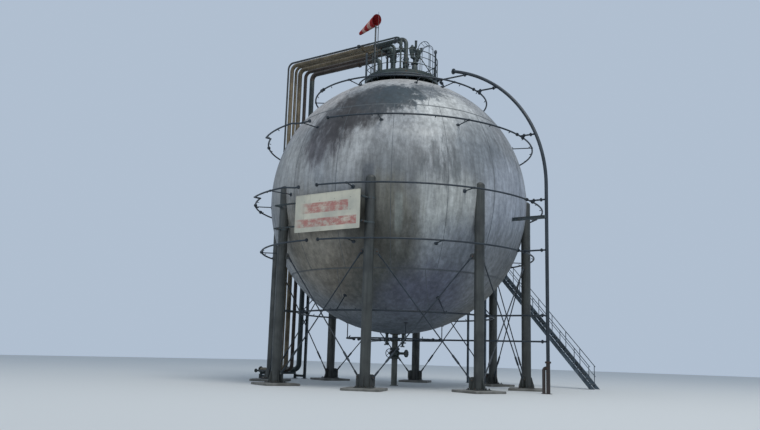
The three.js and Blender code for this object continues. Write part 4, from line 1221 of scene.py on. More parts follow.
    def tie_rod(self, index: int, rising: bool) -> None:
        """Makes one rod: eyes at both ends, sockets, the bar, and a turnbuckle near its foot.

        Args:
            index: Number of the leg before its bay.
            rising: Whether its foot is at that leg.
        """
        along = self.towards(index, 1)
        outward = np.array([along[1], -along[0], 0.0])
        off = outward * (self.lug_thick / 2 + 0.024) * (1 if rising else -1)
        low, high = (self.rod_foot, self.rod_top) if rising else (self.rod_top, self.rod_foot)
        near = around(self.azimuth(index), self.circle, low) + along * self.rod_reach + off
        far = around(self.azimuth(index + 1), self.circle, high) - along * self.rod_reach + off
        foot, head = (near, far) if rising else (far, near)
        length = float(np.linalg.norm(head - foot))
        r = self.rod_radius
        bar = [(0.0, 0.75 * r), (0.05, 1.5 * r), (0.3, 1.5 * r), (0.36, r), (0.8, r), (0.8, 1.55 * r),
               (0.86, 1.7 * r), (1.2, 1.7 * r), (1.26, 1.55 * r), (1.26, r), (length - 0.36, r),
               (length - 0.3, 1.5 * r), (length - 0.05, 1.5 * r), (length, 0.75 * r)]
        eye = [(0, 0.062), (0.006, 0.07), (0.032, 0.07), (0.038, 0.062)]
        kit = Kit()
        kit.add(NAVY_PAINT, spun(foot, unit(head - foot), bar, 14),
                *(spun(end - outward * 0.019, outward, eye, 20) for end in (foot, head)))
        name = f"tie_rod_{index + 1}{'a' if rising else 'b'}"
        kit.build(f"{name}_bar", Slot.NAVY, name)

    def build(self) -> None:
        """Makes the legs and the rods."""
        for index in range(self.count):
            self.leg(index)
            self.tie_rod(index, True)
            self.tie_rod(index, False)


@dataclass(frozen=True)
class Ring:
    """One spray ring: height, reach, front split, arms, the stretch that stands further out, and joints."""

    height: float
    reach: float
    split: float
    half_gap: float
    arms: tuple[float, ...]
    out: tuple[float, float, float] | None = None
    joints: tuple[float, ...] = ()


RISER_AZIMUTHS = {"right": 90.0, "left": 225.0}
RINGS = {
    "ring_2": Ring(13.8, 4.28, -28.1, 1.5, (-1, 45, 68, 140, 215, 260, 305)),
    "ring_3": Ring(11.29, 6.48, 0.4, 4.4, (25, 60, 109, 140, 215, 262, 352), (324, 348, 6.72), (308, 155)),
    "ring_4": Ring(8.27, 6.93, -0.2, 4.1, (15.4, 60, 130, 215, 265, 310, 343), (329, 351, 7.24),
                   (313, 298, 155)),
    "ring_5": Ring(6.05, 6.52, 0.2, 2.6, (14.4, 50, 130, 215, 265, 310), joints=(312, 155)),
}
LOW_RING = Ring(3.25, 4.65, -32.5, 2.5, (-120, -60, 0, 60, 120, 175))
BOTTOM_RING = Ring(2.15, 2.3, -90.0, 5.0, (-135, -45, 45, 135))
TOP_RING = Ring(14.73, 2.15, 96.0, 6.0, (80, 170, 260, 350))


@dataclass
class SprayPipes:
    """The spray rings with their nozzles, arms and blind ends, and the two risers that feed them.

    Each standpipe has its azimuth, its top and the radius of its head.
    """

    radius: float = 0.038
    flange: float = 0.08
    arm: float = 0.024
    back_split: float = 200.0
    back_half_gap: float = 2.2
    out_ease: float = 3.0
    nozzle_step: float = 1.35
    riser_radius: float = 0.076
    riser_reach: float = 7.7
    foot_radius: float = 0.084
    foot_top: float = 1.29
    supply_radius: float = 0.07
    supply_gap: float = 0.195
    supply_top: float = 1.06
    arc_reach: float = 1.35
    arc_height: float = 8.9
    end_angle: float = 74.9
    beam_height: float = 7.5
    joint_gap: float = 0.3
    feed_end: float = 0.188
    feed_root: float = 0.24
    short_feed: float = 0.6
    standpipes: tuple[tuple[float, float, float], ...] = ((83.0, 16.2, 0.075), (339.0, 16.05, 0.055))

    def level(self, start: float, end: float, reach: float, height: float) -> Array:
        """Stations every two degrees or less on a level circle."""
        return around(np.linspace(start, end, max(2, int(abs(end - start) / 2) + 1)), reach, height)

    def stations(self, ring: Ring, start: float, end: float) -> Array:
        """Stations of a ring's stretch, with a sharp step out and an eased step back where it stands out.

        Args:
            ring: The ring.
            start: Azimuth of the stretch's start.
            end: Azimuth of its end.

        Returns:
            The stations.
        """
        if not ring.out or end < ring.out[1]:
            return self.level(start, end, ring.reach, ring.height)
        first, last, reach = ring.out
        return np.concatenate([
            self.level(start, first - 1, ring.reach, ring.height),
            self.level(first, last, reach, ring.height),
            self.level(last + self.out_ease, end, ring.reach, ring.height),
        ])

    def nozzles(self, path: Array) -> Skin:
        """Short spray nozzles along a pipe, each pointed at the sphere's middle.

        Args:
            path: Stations of the pipe.

        Returns:
            The nozzles.
        """
        along = np.concatenate([[0], np.cumsum(np.linalg.norm(np.diff(path, axis=0), axis=1))])
        stops = np.arange(0.5 * self.nozzle_step, along[-1] - 0.1, self.nozzle_step)
        places = np.stack([np.interp(stops, along, path[:, k]) for k in range(3)], axis=1)
        form = spun(np.zeros(3), UP, [(0.02, 0.014), (0.07, 0.014), (0.07, 0.022), (0.1, 0.022), (0.1, 0.012),
                                      (0.13, 0.017)], 8)
        return scatter(form, places, np.stack([axes_along(BALL.height * UP - place) for place in places]))

    def joint(self, place: Array, way: Array) -> Skin:
        """A small pair of flanges in a spray pipe, or its blind end."""
        return flange_pair(place, way, self.flange, 0.05, 6)

    def strut(self, place: Array, foot: Array, azimuth: float) -> Skin:
        """An arm from a pipe to the shell, with its clamp and a small pad where it stands.

        Args:
            place: Where it holds the pipe.
            foot: Where it stands on the shell.
            azimuth: Azimuth of the place.

        Returns:
            The arm.
        """
        pad = spun(foot, place - foot, [(0, 0.09), (0.02, 0.09), (0.026, 0.08)], 16)
        clamp = collar(place, outwards(azimuth + 90), self.radius, 1.35 * self.radius, 0.07, 14)
        return joined(rod(foot, place, self.arm), pad, clamp)

    def square_foot(self, place: Array) -> Array:
        """The shell's nearest point to a place outside it."""
        middle = BALL.height * UP
        return middle + unit(place - middle) * (BALL.radius - 0.01)

    def run(self, path: Array) -> list[Skin]:
        """A stretch of spray pipe with its nozzles, and with a blind flange at each end."""
        ends = [self.joint(path[i], path[i] - path[j]) for i, j in ((0, 1), (-1, -2))]
        return [tube(path, self.radius, UP, 14), self.nozzles(path), *ends]

    def half(self, name: str, ring: Ring, start: float, end: float) -> None:
        """Makes half of a split ring with the arms on it.

        Args:
            name: Name of its node.
            ring: The ring.
            start: Azimuth of its start.
            end: Azimuth of its end.
        """
        kit = Kit()
        kit.add(NAVY_PAINT, *self.run(self.stations(ring, start, end)))
        for azimuth in ring.arms:
            turned = azimuth if azimuth > start else azimuth + 360
            if start < turned < end:
                inside = ring.out and ring.out[0] < turned < ring.out[1]
                place = around(azimuth, ring.out[2] if inside else ring.reach, ring.height)
                foot = around(azimuth, BALL.reach(ring.height) - 0.01, ring.height)
                kit.add(NAVY_PAINT, self.strut(place, foot, azimuth))
        for azimuth in ring.joints:
            if start < azimuth < end:
                place = around(azimuth, ring.reach, ring.height)
                kit.add(NAVY_PAINT, self.joint(place, outwards(azimuth + 90)))
        kit.build(f"{name}_pipe", Slot.NAVY, name)

    def low_rings(self) -> None:
        """Makes the two rings under the shell, the upper on square arms and the lower on upright ones."""
        for name, ring in (("ring_6", LOW_RING), ("ring_7", BOTTOM_RING)):
            start, end = ring.split + ring.half_gap, ring.split + 360 - ring.half_gap
            kit = Kit()
            kit.add(NAVY_PAINT, *self.run(self.level(start, end, ring.reach, ring.height)))
            for azimuth in ring.arms:
                place = around(azimuth, ring.reach, ring.height)
                upright = np.array([*place[:2], BALL.underside(ring.reach) + 0.01])
                foot = self.square_foot(place) if ring is LOW_RING else upright
                kit.add(NAVY_PAINT, self.strut(place, foot, azimuth))
            kit.build(f"{name}_pipe", Slot.NAVY, name)

    def reach_at(self, height: float) -> float:
        """Reach of a riser's centre line at a height, straight below its arc."""
        rise, radius = max(0.0, height - self.arc_height), self.riser_reach - self.arc_reach
        return self.arc_reach + math.sqrt(radius**2 - rise**2)

    def feed(self, azimuth: float, ring: Ring) -> Skin:
        """A level branch from a riser to a ring, with a flange near each end and one on each side of it.

        Args:
            azimuth: Azimuth of the riser.
            ring: The ring.

        Returns:
            The branch.
        """
        outer = self.reach_at(ring.height)
        start, end = around(azimuth, outer, ring.height), around(azimuth, ring.reach, ring.height)
        along, out = outwards(azimuth + 90), outwards(azimuth)
        joints = [self.joint(end + self.feed_end * out, out)]
        if outer - ring.reach > self.short_feed:
            joints.append(self.joint(start - self.feed_root * out, out))
        bow = 0.5 * self.joint_gap**2 / ring.reach
        joints += [flange_pair(end + side * self.joint_gap * along - bow * out, along, 0.075, 0.05, 6)
                   for side in (-1, 1)]
        return joined(rod(start, end, self.radius, 14), *joints)

    def over(self, azimuth: float, angle: Array | float) -> Array:
        """Points of a riser's arc over the shell, at an angle in radians from level."""
        radius = self.riser_reach - self.arc_reach
        return around(azimuth, self.arc_reach + radius * np.cos(angle),
                      self.arc_height + radius * np.sin(angle))

    def supply(self, azimuth: float) -> list[Skin]:
        """The pipe that comes out of the ground beside a riser and turns into its foot.

        Args:
            azimuth: Azimuth of the riser.

        Returns:
            The pipe and the collar round it on the ground.
        """
        start = around(azimuth, self.riser_reach - self.supply_gap, 0.0)
        end = around(azimuth, self.riser_reach, self.supply_top)
        path = rounded([start, start + UP * self.supply_top, end], 0.11)
        skirt = spun(start, UP, [(0, 0.11), (0.02, 0.11), (0.02, self.supply_radius)], 20)
        return [tube(path, self.supply_radius, outwards(azimuth + 90), 16), skirt]

    def riser(self, azimuth: float) -> Kit:
        """A riser from its rusty foot over the shell, with its feeds and the beam that holds it.

        Args:
            azimuth: Azimuth of the riser.

        Returns:
            Its surfaces.
        """
        arc = self.over(azimuth, np.radians(np.linspace(0, self.end_angle, 38)))
        foot = around(azimuth, self.riser_reach, 0.0)
        path = np.concatenate([foot[None], arc])
        pipe = [(0, 0.15), (0.02, 0.15), (0.02, self.foot_radius), (self.foot_top - 0.02, self.foot_radius)]
        kit = Kit()
        kit.add(NAVY_PAINT, tube(path, self.riser_radius, outwards(azimuth + 90), 20))
        kit.add(RUSTY_FOOT, spun(foot, UP, pipe, 24), flange_pair(foot + UP * self.foot_top, UP, 0.13, 0.06),
                *self.supply(azimuth))
        kit.add(NAVY_PAINT, flange_pair(path[-1], path[-1] - path[-2], 0.14, 0.06),
                *(self.feed(azimuth, ring) for ring in (*RINGS.values(), LOW_RING, BOTTOM_RING)))
        inner = around(azimuth, BALL.reach(self.beam_height) - 0.03, self.beam_height)
        outer = around(azimuth, self.riser_reach - 0.06, self.beam_height)
        kit.add(RACK_PAINT, beam(inner, outer, 0.15, 0.1), collar(outer, UP, 0.08, 0.1, 0.12))
        return kit

    def standpipe(self, azimuth: float, top: float, head: float) -> Skin:
        """An upright pipe on the top ring, with a round spray head.

        Args:
            azimuth: Azimuth of the pipe.
            top: Height of its top.
            head: Radius of its head.

        Returns:
            The pipe.
        """
        foot = around(azimuth, TOP_RING.reach, TOP_RING.height)
        rise = top - foot[2]
        return spun(foot, UP, [(-0.03, 0.044), (rise - 0.2, 0.044), (rise - 0.14, head), (rise - 0.06, head),
                               (rise, 0.67 * head)], 16)

    def build(self) -> None:
        """Makes the rings and the risers. The top ring with its standpipes belongs to the right riser."""
        for name, ring in RINGS.items():
            self.half(f"{name}_right", ring, ring.split + ring.half_gap, self.back_split - self.back_half_gap)
            first, last = self.back_split + self.back_half_gap, ring.split + 360 - ring.half_gap
            self.half(f"{name}_left", ring, first, last)
        self.low_rings()
        start = RISER_AZIMUTHS["right"]
        kit = self.riser(start)
        end = TOP_RING.split - 360 + TOP_RING.half_gap
        kit.add(NAVY_PAINT, *self.run(self.level(start, end, TOP_RING.reach, TOP_RING.height)),
                self.feed(start, TOP_RING))
        for azimuth in TOP_RING.arms:
            place = around(azimuth, TOP_RING.reach, TOP_RING.height)
            kit.add(NAVY_PAINT, self.strut(place, self.square_foot(place), azimuth))
        kit.add(NAVY_PAINT, *(self.standpipe(*pipe) for pipe in self.standpipes))
        kit.build("riser_right_pipe", Slot.NAVY, "riser_right")
        self.riser(RISER_AZIMUTHS["left"]).build("riser_left_pipe", Slot.NAVY, "riser_left")


@dataclass(frozen=True)
class Line:
    """One pipe of the row: its place and size, and the finishes of its level run and of its fall.

    Attributes:
        y: How far back it lies.
        radius: Its outside radius.
        drop: The x at which it comes out of the crown.
        height: Height of its level run.
        finish: Finish of the level run.
        fall: Finish of the upright run.
        joint: The x of the flanges in its level run.
        bonnet: The way that its lower valve faces, if it has one.
        upper: The way that its upper valve faces and the valve's height, if it has one.
    """

    name: str
    y: float
    radius: float
    drop: float
    height: float
    finish: SteelPaint
    fall: SteelPaint
    joint: float = -2.65
    bonnet: float | None = None
    upper: tuple[float, float] | None = None


@dataclass
class CrownLines:
    """The row of clad pipes from the crown over the side and down, with the frame that holds them."""

    lines: tuple[Line, ...] = (
        Line("vapour_line_1", -0.17, 0.05, 0.02, 17.45, THIN_PIPE, THIN_PIPE, upper=(-20.0, 16.85)),
        Line("vapour_line_2", 0.2, 0.11, 0.1, 17.45, PIPE_CLAD, PIPE_CLAD, bonnet=60.0),
        Line("vapour_line_3", 0.52, 0.08, -0.825, 17.45, PIPE_CLAD, PIPE_CLAD, bonnet=0.0,
             upper=(50.0, 16.5)),
        Line("vapour_line_4", 0.92, 0.125, -1.18, 17.45, PIPE_CLAD, PIPE_CLAD, bonnet=0.0,
             upper=(-30.0, 16.7)),
        Line("vapour_line_5", 1.39, 0.1, -0.655, 17.45, DARK_CLAD, DARK_CLAD, bonnet=0.0, upper=(10.0, 16.5)),
        Line("liquid_line_6", 2.03, 0.14, -2.79, 17.53, DARK_CLAD, LIQUID_CLAD, -4.2),
    )
    inner: float = 7.5
    under: float = 0.35
    flange: float = 0.05
    flange_thick: float = 0.09
    nozzle_rise: float = 0.9
    bend: float = 0.33
    end: float = 8.75
    rack_bar: float = 0.12
    rack_heights: tuple[float, float] = (3.6, 8.6)
    rack_ties: tuple[float, float] = (0.2, 0.33)
    rack_margin: float = 0.35
    hoop_step: float = 1.05
    clad_from: float = -1.9
    rest_azimuth: float = 237.0
    rest_reach: float = 1.95
    rest_top: float = 17.32
    rest_bar: float = 0.08
    rest_span: tuple[float, float] = (0.42, 1.5)

    def hoops(self, start: Array, end: Array, radius: float) -> Skin:
        """Bands that hold the cladding, evenly along a straight run.

        Args:
            start: Start of the run.
            end: End of the run.
            radius: Radius of the pipe.

        Returns:
            The bands.
        """
        stops = np.arange(0.5 * self.hoop_step, float(np.linalg.norm(end - start)), self.hoop_step)
        way = unit(end - start)
        low, high = 0.98 * radius, radius + 0.006
        form = spun(np.zeros(3), UP, [(-0.016, low), (-0.012, high), (0.012, high), (0.016, low)], 20)
        return scatter(form, start + stops[:, None] * way, axes_along(way))

    def joint(self, place: Array, radius: float, way: Array = UP) -> Skin:
        """A pair of flanges in a pipe of the row."""
        return flange_pair(place, way, radius + self.flange, self.flange_thick)

    def valve(self, kit: Kit, foot: Array, r: float, azimuth: float) -> None:
        """Adds a gate valve above a pipe's flange: barrelled body, upper flange, bonnet, yoke and wheel.

        Args:
            kit: What it is added to.
            foot: Middle of the flange under it.
            r: Radius of the pipe.
            azimuth: The way that its wheel faces.
        """
        way = outwards(azimuth)
        middle = foot + UP * 0.23
        body = [(0.04, r + 0.005), (0.1, r + 0.03), (0.16, r + 0.04), (0.3, r + 0.04), (0.36, r + 0.03),
                (0.4, r + 0.005)]
        yoke = [(0, 0.045), (r + 0.08, 0.045), (r + 0.08, 0.068), (r + 0.12, 0.068), (r + 0.12, 0.03),
                (0.3, 0.026), (0.3, 0.012), (0.42, 0.01)]
        kit.add(DECK_PAINT, spun(foot, UP, body, 28), self.joint(foot + UP * 0.4, r),
                spun(middle, way, yoke, 20))
        kit.add(WHEEL_PAINT, handwheel(middle + 0.36 * way, way, 0.14))

    def line(self, line: Line) -> None:
        """Makes one pipe with its bends, bands, flanges, valves and end.

        Args:
            line: The pipe.
        """
        r, y = line.radius, line.y
        on_cover = math.hypot(line.drop, y) < Platform.manhole_radius
        start = point(line.drop, y, Platform.cover_top if on_cover else BALL.top(line.drop, y) - 0.03)
        rise, over = point(line.drop, y, line.height), point(-self.inner - r, y, line.height)
        foot = point(-self.inner - r, y, self.under + r)
        end = point(-self.end, y, foot[2])
        reach = self.bend + 0.05
        edge = point(min(self.clad_from, line.drop - reach), y, line.height)
        outer = over - UP * reach
        kit = Kit()
        for finish, route, radius in ((line.finish, [edge, over, outer - UP * 0.02], r),
                                      (line.fall, [outer, foot, end], r),
                                      (DECK_PAINT, [start, rise, edge - EAST * 0.02], r - 0.004)):
            kit.add(finish, tube(rounded(route, self.bend), radius, BACK, 24))
        kit.add(line.finish, self.hoops(edge, over + EAST * reach, r))
        kit.add(line.fall, self.hoops(outer, foot + UP * reach, r))
        nozzle = point(line.drop, y, BALL.top(line.drop, y) + self.nozzle_rise)
        kit.add(DECK_PAINT, self.joint(nozzle, r))
        kit.add(line.finish, self.joint(point(line.joint, y, line.height), r, EAST))
        kit.add(DECK_PAINT, flange_pair(end, EAST, r + self.flange, 0.05))
        if line.bonnet is not None:
            self.valve(kit, nozzle, r, line.bonnet)
        if line.upper is not None:
            azimuth, height = line.upper
            kit.add(DECK_PAINT, self.joint(point(line.drop, y, height), r))
            self.valve(kit, point(line.drop, y, height), r, azimuth)
        if not on_cover:
            kit.add(DECK_PAINT, spun(start, UP, [(0, r + 0.08), (0.04, r + 0.07), (0.05, r)]))
        kit.build(f"{line.name}_pipe", Slot.PIPE, line.name)

    def rack(self) -> None:
        """Makes the frame beside the shell and the sleeper under the pipes' ends."""
        bar = self.rack_bar
        first, last = self.lines[0].y - self.rack_margin, self.lines[-1].y + self.rack_margin
        x, sleeper_x = bar / 2 - self.inner, -(self.inner + self.end) / 2
        low, high = self.rack_heights
        kit = Kit()
        sleeper = self.under - bar / 2
        kit.add(RACK_PAINT, beam([sleeper_x, first, sleeper], [sleeper_x, last, sleeper], bar, bar))
        for y in (first + bar / 2, last - bar / 2):
            kit.add(RACK_PAINT,
                    beam([x, y, 0], [x, y, high + bar / 2], bar, bar, EAST),
                    beam([sleeper_x, y, 0], [sleeper_x, y, self.under - bar], bar, bar, EAST),
                    beam([x, y, 0.15], [sleeper_x, y, 0.15], bar, bar),
                    *(block(point(post, y, 0.01), (0.24, 0.24, 0.02)) for post in (x, sleeper_x)))
        for height in (low, high):
            kit.add(RACK_PAINT, beam([x, first, height], [x, last, height], bar, bar))
            for line in self.lines:
                r = line.radius
                place = point(-self.inner - r, line.y, height)
                kit.add(RACK_PAINT, collar(place, UP, r, r + 0.012, 0.05, 24))
        for y in (first + self.rack_ties[0], last - self.rack_ties[1]):
            reach = math.sqrt(BALL.reach(high) ** 2 - y**2) - 0.03
            kit.add(RACK_PAINT, beam([-reach, y, high], [x, y, high], bar, bar),
                    block(point(-reach - 0.01, y, high), (0.03, 0.26, 0.26)))
        kit.build("line_rack_frame", Slot.SLATE, "line_rack")

    def rest(self) -> None:
        """Makes the post that stands on the crown beside the deck and carries a bar under the level runs."""
        foot = around(self.rest_azimuth, self.rest_reach, BALL.top(self.rest_reach) - 0.02)
        bar, x = self.rest_bar, foot[0]
        post = [(0, 0.13), (0.03, 0.13), (0.04, 0.055), (self.rest_top - bar - foot[2], 0.055)]
        kit = Kit()
        ends = ([x, y, self.rest_top - bar / 2] for y in self.rest_span)
        kit.add(MAST_PAINT, spun(foot, UP, post, 20), beam(*ends, bar, bar))
        for line in self.lines[2:5]:
            place = point(x, line.y, line.height)
            kit.add(BOLT_STEEL, collar(place, EAST, line.radius, line.radius + 0.01, 0.04))
        kit.build("line_rest_post", Slot.SLATE)

    def build(self) -> None:
        """Makes the pipes, the frame and the rest."""
        for line in self.lines:
            self.line(line)
        self.rack()
        self.rest()


@dataclass
class Platform:
    """The round top platform: deck, skirt, brackets, railing, manhole and relief valves."""

    deck: float = 14.98
    radius: float = 1.87
    deck_plate: float = 0.04
    skirt: float = 0.22
    hole: float = 0.37
    grating: float = 1.76
    post_reach: float = 1.5
    post_azimuths: tuple[float, ...] = (20, 65, 115, 150, 222, 258, 295, 340)
    rail_reach: float = 1.81
    rail_height: float = 1.15
    rail_bar: float = 0.021
    rail_shares: tuple[float, ...] = (1.0, 0.72, 0.4)
    gate_half: float = 0.42
    manhole_radius: float = MANHOLE_RADIUS
    cover_top: float = 15.235
    davit: tuple[float, float] = (0.42, -0.28)
    davit_rise: float = 0.5
    relief_x: float = 0.83
    relief_y: float = -0.1
    relief_rise: float = 1.12
    relief_gap: float = 0.26
    relief_stop: tuple[float, float] = (0.26, 0.84)
    relief_stacks: tuple[float, float] = (0.4, 0.2)

    def build_deck(self) -> None:
        """Makes the deck plate with its skirt, the brackets under it and the posts to the shell."""
        deck, low, edge = self.deck, self.deck - self.skirt, self.radius
        section = np.array([
            [edge - 0.012, low], [edge, low], [edge, low + 0.05], [edge - 0.008, low + 0.056],
            [edge - 0.008, deck - 0.03], [edge, deck - 0.024], [edge, deck - 0.004], [edge - 0.006, deck],
            [self.hole, deck], [self.hole, deck - self.deck_plate], [edge - 0.02, deck - self.deck_plate],
            [edge - 0.02, low + 0.012], [edge - 0.1, low + 0.012], [edge - 0.1, low],
        ])
        inner = self.hole + 0.03
        grating = np.array([[inner, 0.004], [self.grating, 0.004], [self.grating, -0.01], [inner, -0.01]])
        azimuth = np.arange(0, 360, 3.0)[:, None]
        kit = Kit()
        kit.add(DECK_PAINT, loft(around(azimuth, section[:, 0], section[:, 1]), closed=True))
        kit.add(DECK_GRATING, loft(around(azimuth, grating[:, 0], grating[:, 1] + deck), closed=True))
        bracket = [[0.5, deck - 0.04], [edge - 0.02, deck - 0.04], [edge - 0.02, low + 0.02],
                   [self.post_reach, BALL.top(1.55) + 0.02], [0.5, deck - 0.14]]
        for turn in np.arange(15, 360, 30.0):
            kit.add(DECK_PAINT, fin(bracket, np.zeros(3), outwards(turn), outwards(turn + 90, 0.012)))
        for turn in self.post_azimuths:
            foot = around(turn, self.post_reach, BALL.top(self.post_reach) - 0.02)
            kit.add(DECK_PAINT, rod(foot, around(turn, self.post_reach, deck - 0.02), 0.04, 16),
                    spun(foot, UP, [(0.0, 0.1), (0.03, 0.1), (0.04, 0.05)], 16))
        kit.build("platform_deck_plate", Slot.DECK, "platform_deck")

    def build_railing(self) -> None:
        """Makes the railing with its posts, three rails and toe plate, open at the back."""
        opening = math.degrees(math.asin(self.gate_half / self.radius))
        start, end = 180 + opening, 540 - opening
        turn = np.linspace(start, end, 150)
        kit = Kit()
        for share in self.rail_shares:
            path = around(turn, self.rail_reach, self.deck + self.rail_height * share - self.rail_bar)
            kit.add(DECK_PAINT, tube(path, self.rail_bar * (1 if share == 1 else 0.8), UP, 12))
        toe = np.array([[0.0, 0.002], [0.008, 0.002], [0.008, 0.11], [0.0, 0.11]])
        rings = around(turn[:, None], self.rail_reach - 0.009 + toe[:, 0], self.deck + toe[:, 1])
        kit.add(DECK_PAINT, loft(rings))
        for azimuth in np.linspace(start, end, 17):
            foot = around(azimuth, self.rail_reach, self.deck)
            kit.add(DECK_PAINT, rod(foot, foot + UP * (self.rail_height - self.rail_bar), self.rail_bar),
                    spun(foot, UP, [(0, 0.045), (0.012, 0.045), (0.02, self.rail_bar)], 12))
        kit.build("platform_railing_tubes", Slot.DECK, "platform_railing")

    def build_manhole(self) -> None:
        """Makes the manhole's neck, its bolted cover with handles, and the arm that swings the cover."""
        top, neck = self.cover_top, self.manhole_radius - 0.002
        kit = Kit()
        kit.add(DECK_PAINT, spun(point(0, 0, top - 0.66), UP, [(0, neck), (0.6, neck)], 48),
                flange_pair(point(0, 0, top - 0.045), UP, 0.36, 0.088, 16))
        for x in (-0.2, 0.2):
            bends = ((-0.24, -0.01), (-0.24, 0.07), (-0.14, 0.07), (-0.14, -0.01))
            corners = [point(x, y, top + z) for y, z in bends]
            kit.add(BOLT_STEEL, tube(rounded(corners, 0.02), 0.01, EAST, 8))
        high = top + self.davit_rise
        arm = rounded([point(*self.davit, self.deck), point(*self.davit, high), point(0, 0, high)], 0.12)
        kit.add(DECK_PAINT, tube(arm, 0.028, np.cross(UP, [*self.davit, 0]), 12))
        kit.add(BOLT_STEEL, rod([0, 0, top], [0, 0, high], 0.012, 8))
        kit.build("top_manhole_cover", Slot.DECK, "top_manhole")

    def relief_valve(self, kit: Kit, foot: Array, rise: float) -> None:
        """Adds one spring-loaded valve with its flanges, bonnet, elbow and vent stack.

        Args:
            kit: What it is added to.
            foot: Where it stands on the header's middle line.
            rise: Height of its stack over its elbow.
        """
        body = [(0, 0.075), (0.13, 0.08), (0.2, 0.12), (0.32, 0.15), (0.42, 0.15), (0.45, 0.1), (0.47, 0.1),
                (0.47, 0.12), (0.5, 0.12), (0.5, 0.075), (0.58, 0.07), (0.63, 0.03)]
        side = foot + UP * 0.4
        corner = side + EAST * 0.22
        top = corner + UP * rise
        kit.add(DECK_PAINT, spun(foot, UP, body), flange_pair(foot + UP * 0.12, UP, 0.125, 0.05),
                flange_pair(foot + UP * 0.44, UP, 0.16, 0.04),
                tube(rounded([side, corner, top], 0.12), 0.06, BACK, 20),
                flange_pair(side + EAST * 0.14, EAST, 0.11, 0.04))
        kit.add(NAVY_PAINT, spun(top, UP, [(-0.04, 0.06), (-0.04, 0.068), (0.0, 0.068), (0.0, 0.05)], 20))

    def build_relief(self) -> None:
        """Makes the header on the crown, its isolating valve and stay, and the two valves on it."""
        x, y = self.relief_x, self.relief_y
        shell, head = BALL.top(x, y), self.deck + self.relief_rise
        low, high = self.relief_stop
        tall = high - low
        neck = [(0, 0.17), (0.04, 0.16), (0.05, 0.09), (head - shell + 0.03, 0.09)]
        stop = [(0, 0.09), (0.08, 0.12), (0.16, 0.14), (tall - 0.16, 0.14), (tall - 0.08, 0.12), (tall, 0.09)]
        header = [(0, 0.03), (0.02, 0.07), (0.05, 0.09), (0.61, 0.09), (0.64, 0.07), (0.66, 0.03)]
        kit = Kit()
        kit.add(DECK_PAINT, spun(point(x, y, shell - 0.03), UP, neck),
                spun(point(x, y, self.deck + low), UP, stop, 28),
                *(flange_pair(point(x, y, self.deck + rise), UP, 0.17, 0.07) for rise in (low, high)),
                rod(point(x + 0.1, y + self.relief_gap, head + 0.2),
                    around(90.0, self.rail_reach - 0.02, self.deck + 0.1), 0.022),
                spun(point(x, y - 0.33, head), BACK, header))
        for side, rise in zip((-self.relief_gap, self.relief_gap), self.relief_stacks):
            self.relief_valve(kit, point(x, y + side, head), rise)
        kit.build("relief_valves_set", Slot.DECK, "relief_valves")

    def build(self) -> None:
        """Makes the whole platform."""
        self.build_deck()
        self.build_railing()
        self.build_manhole()
        self.build_relief()


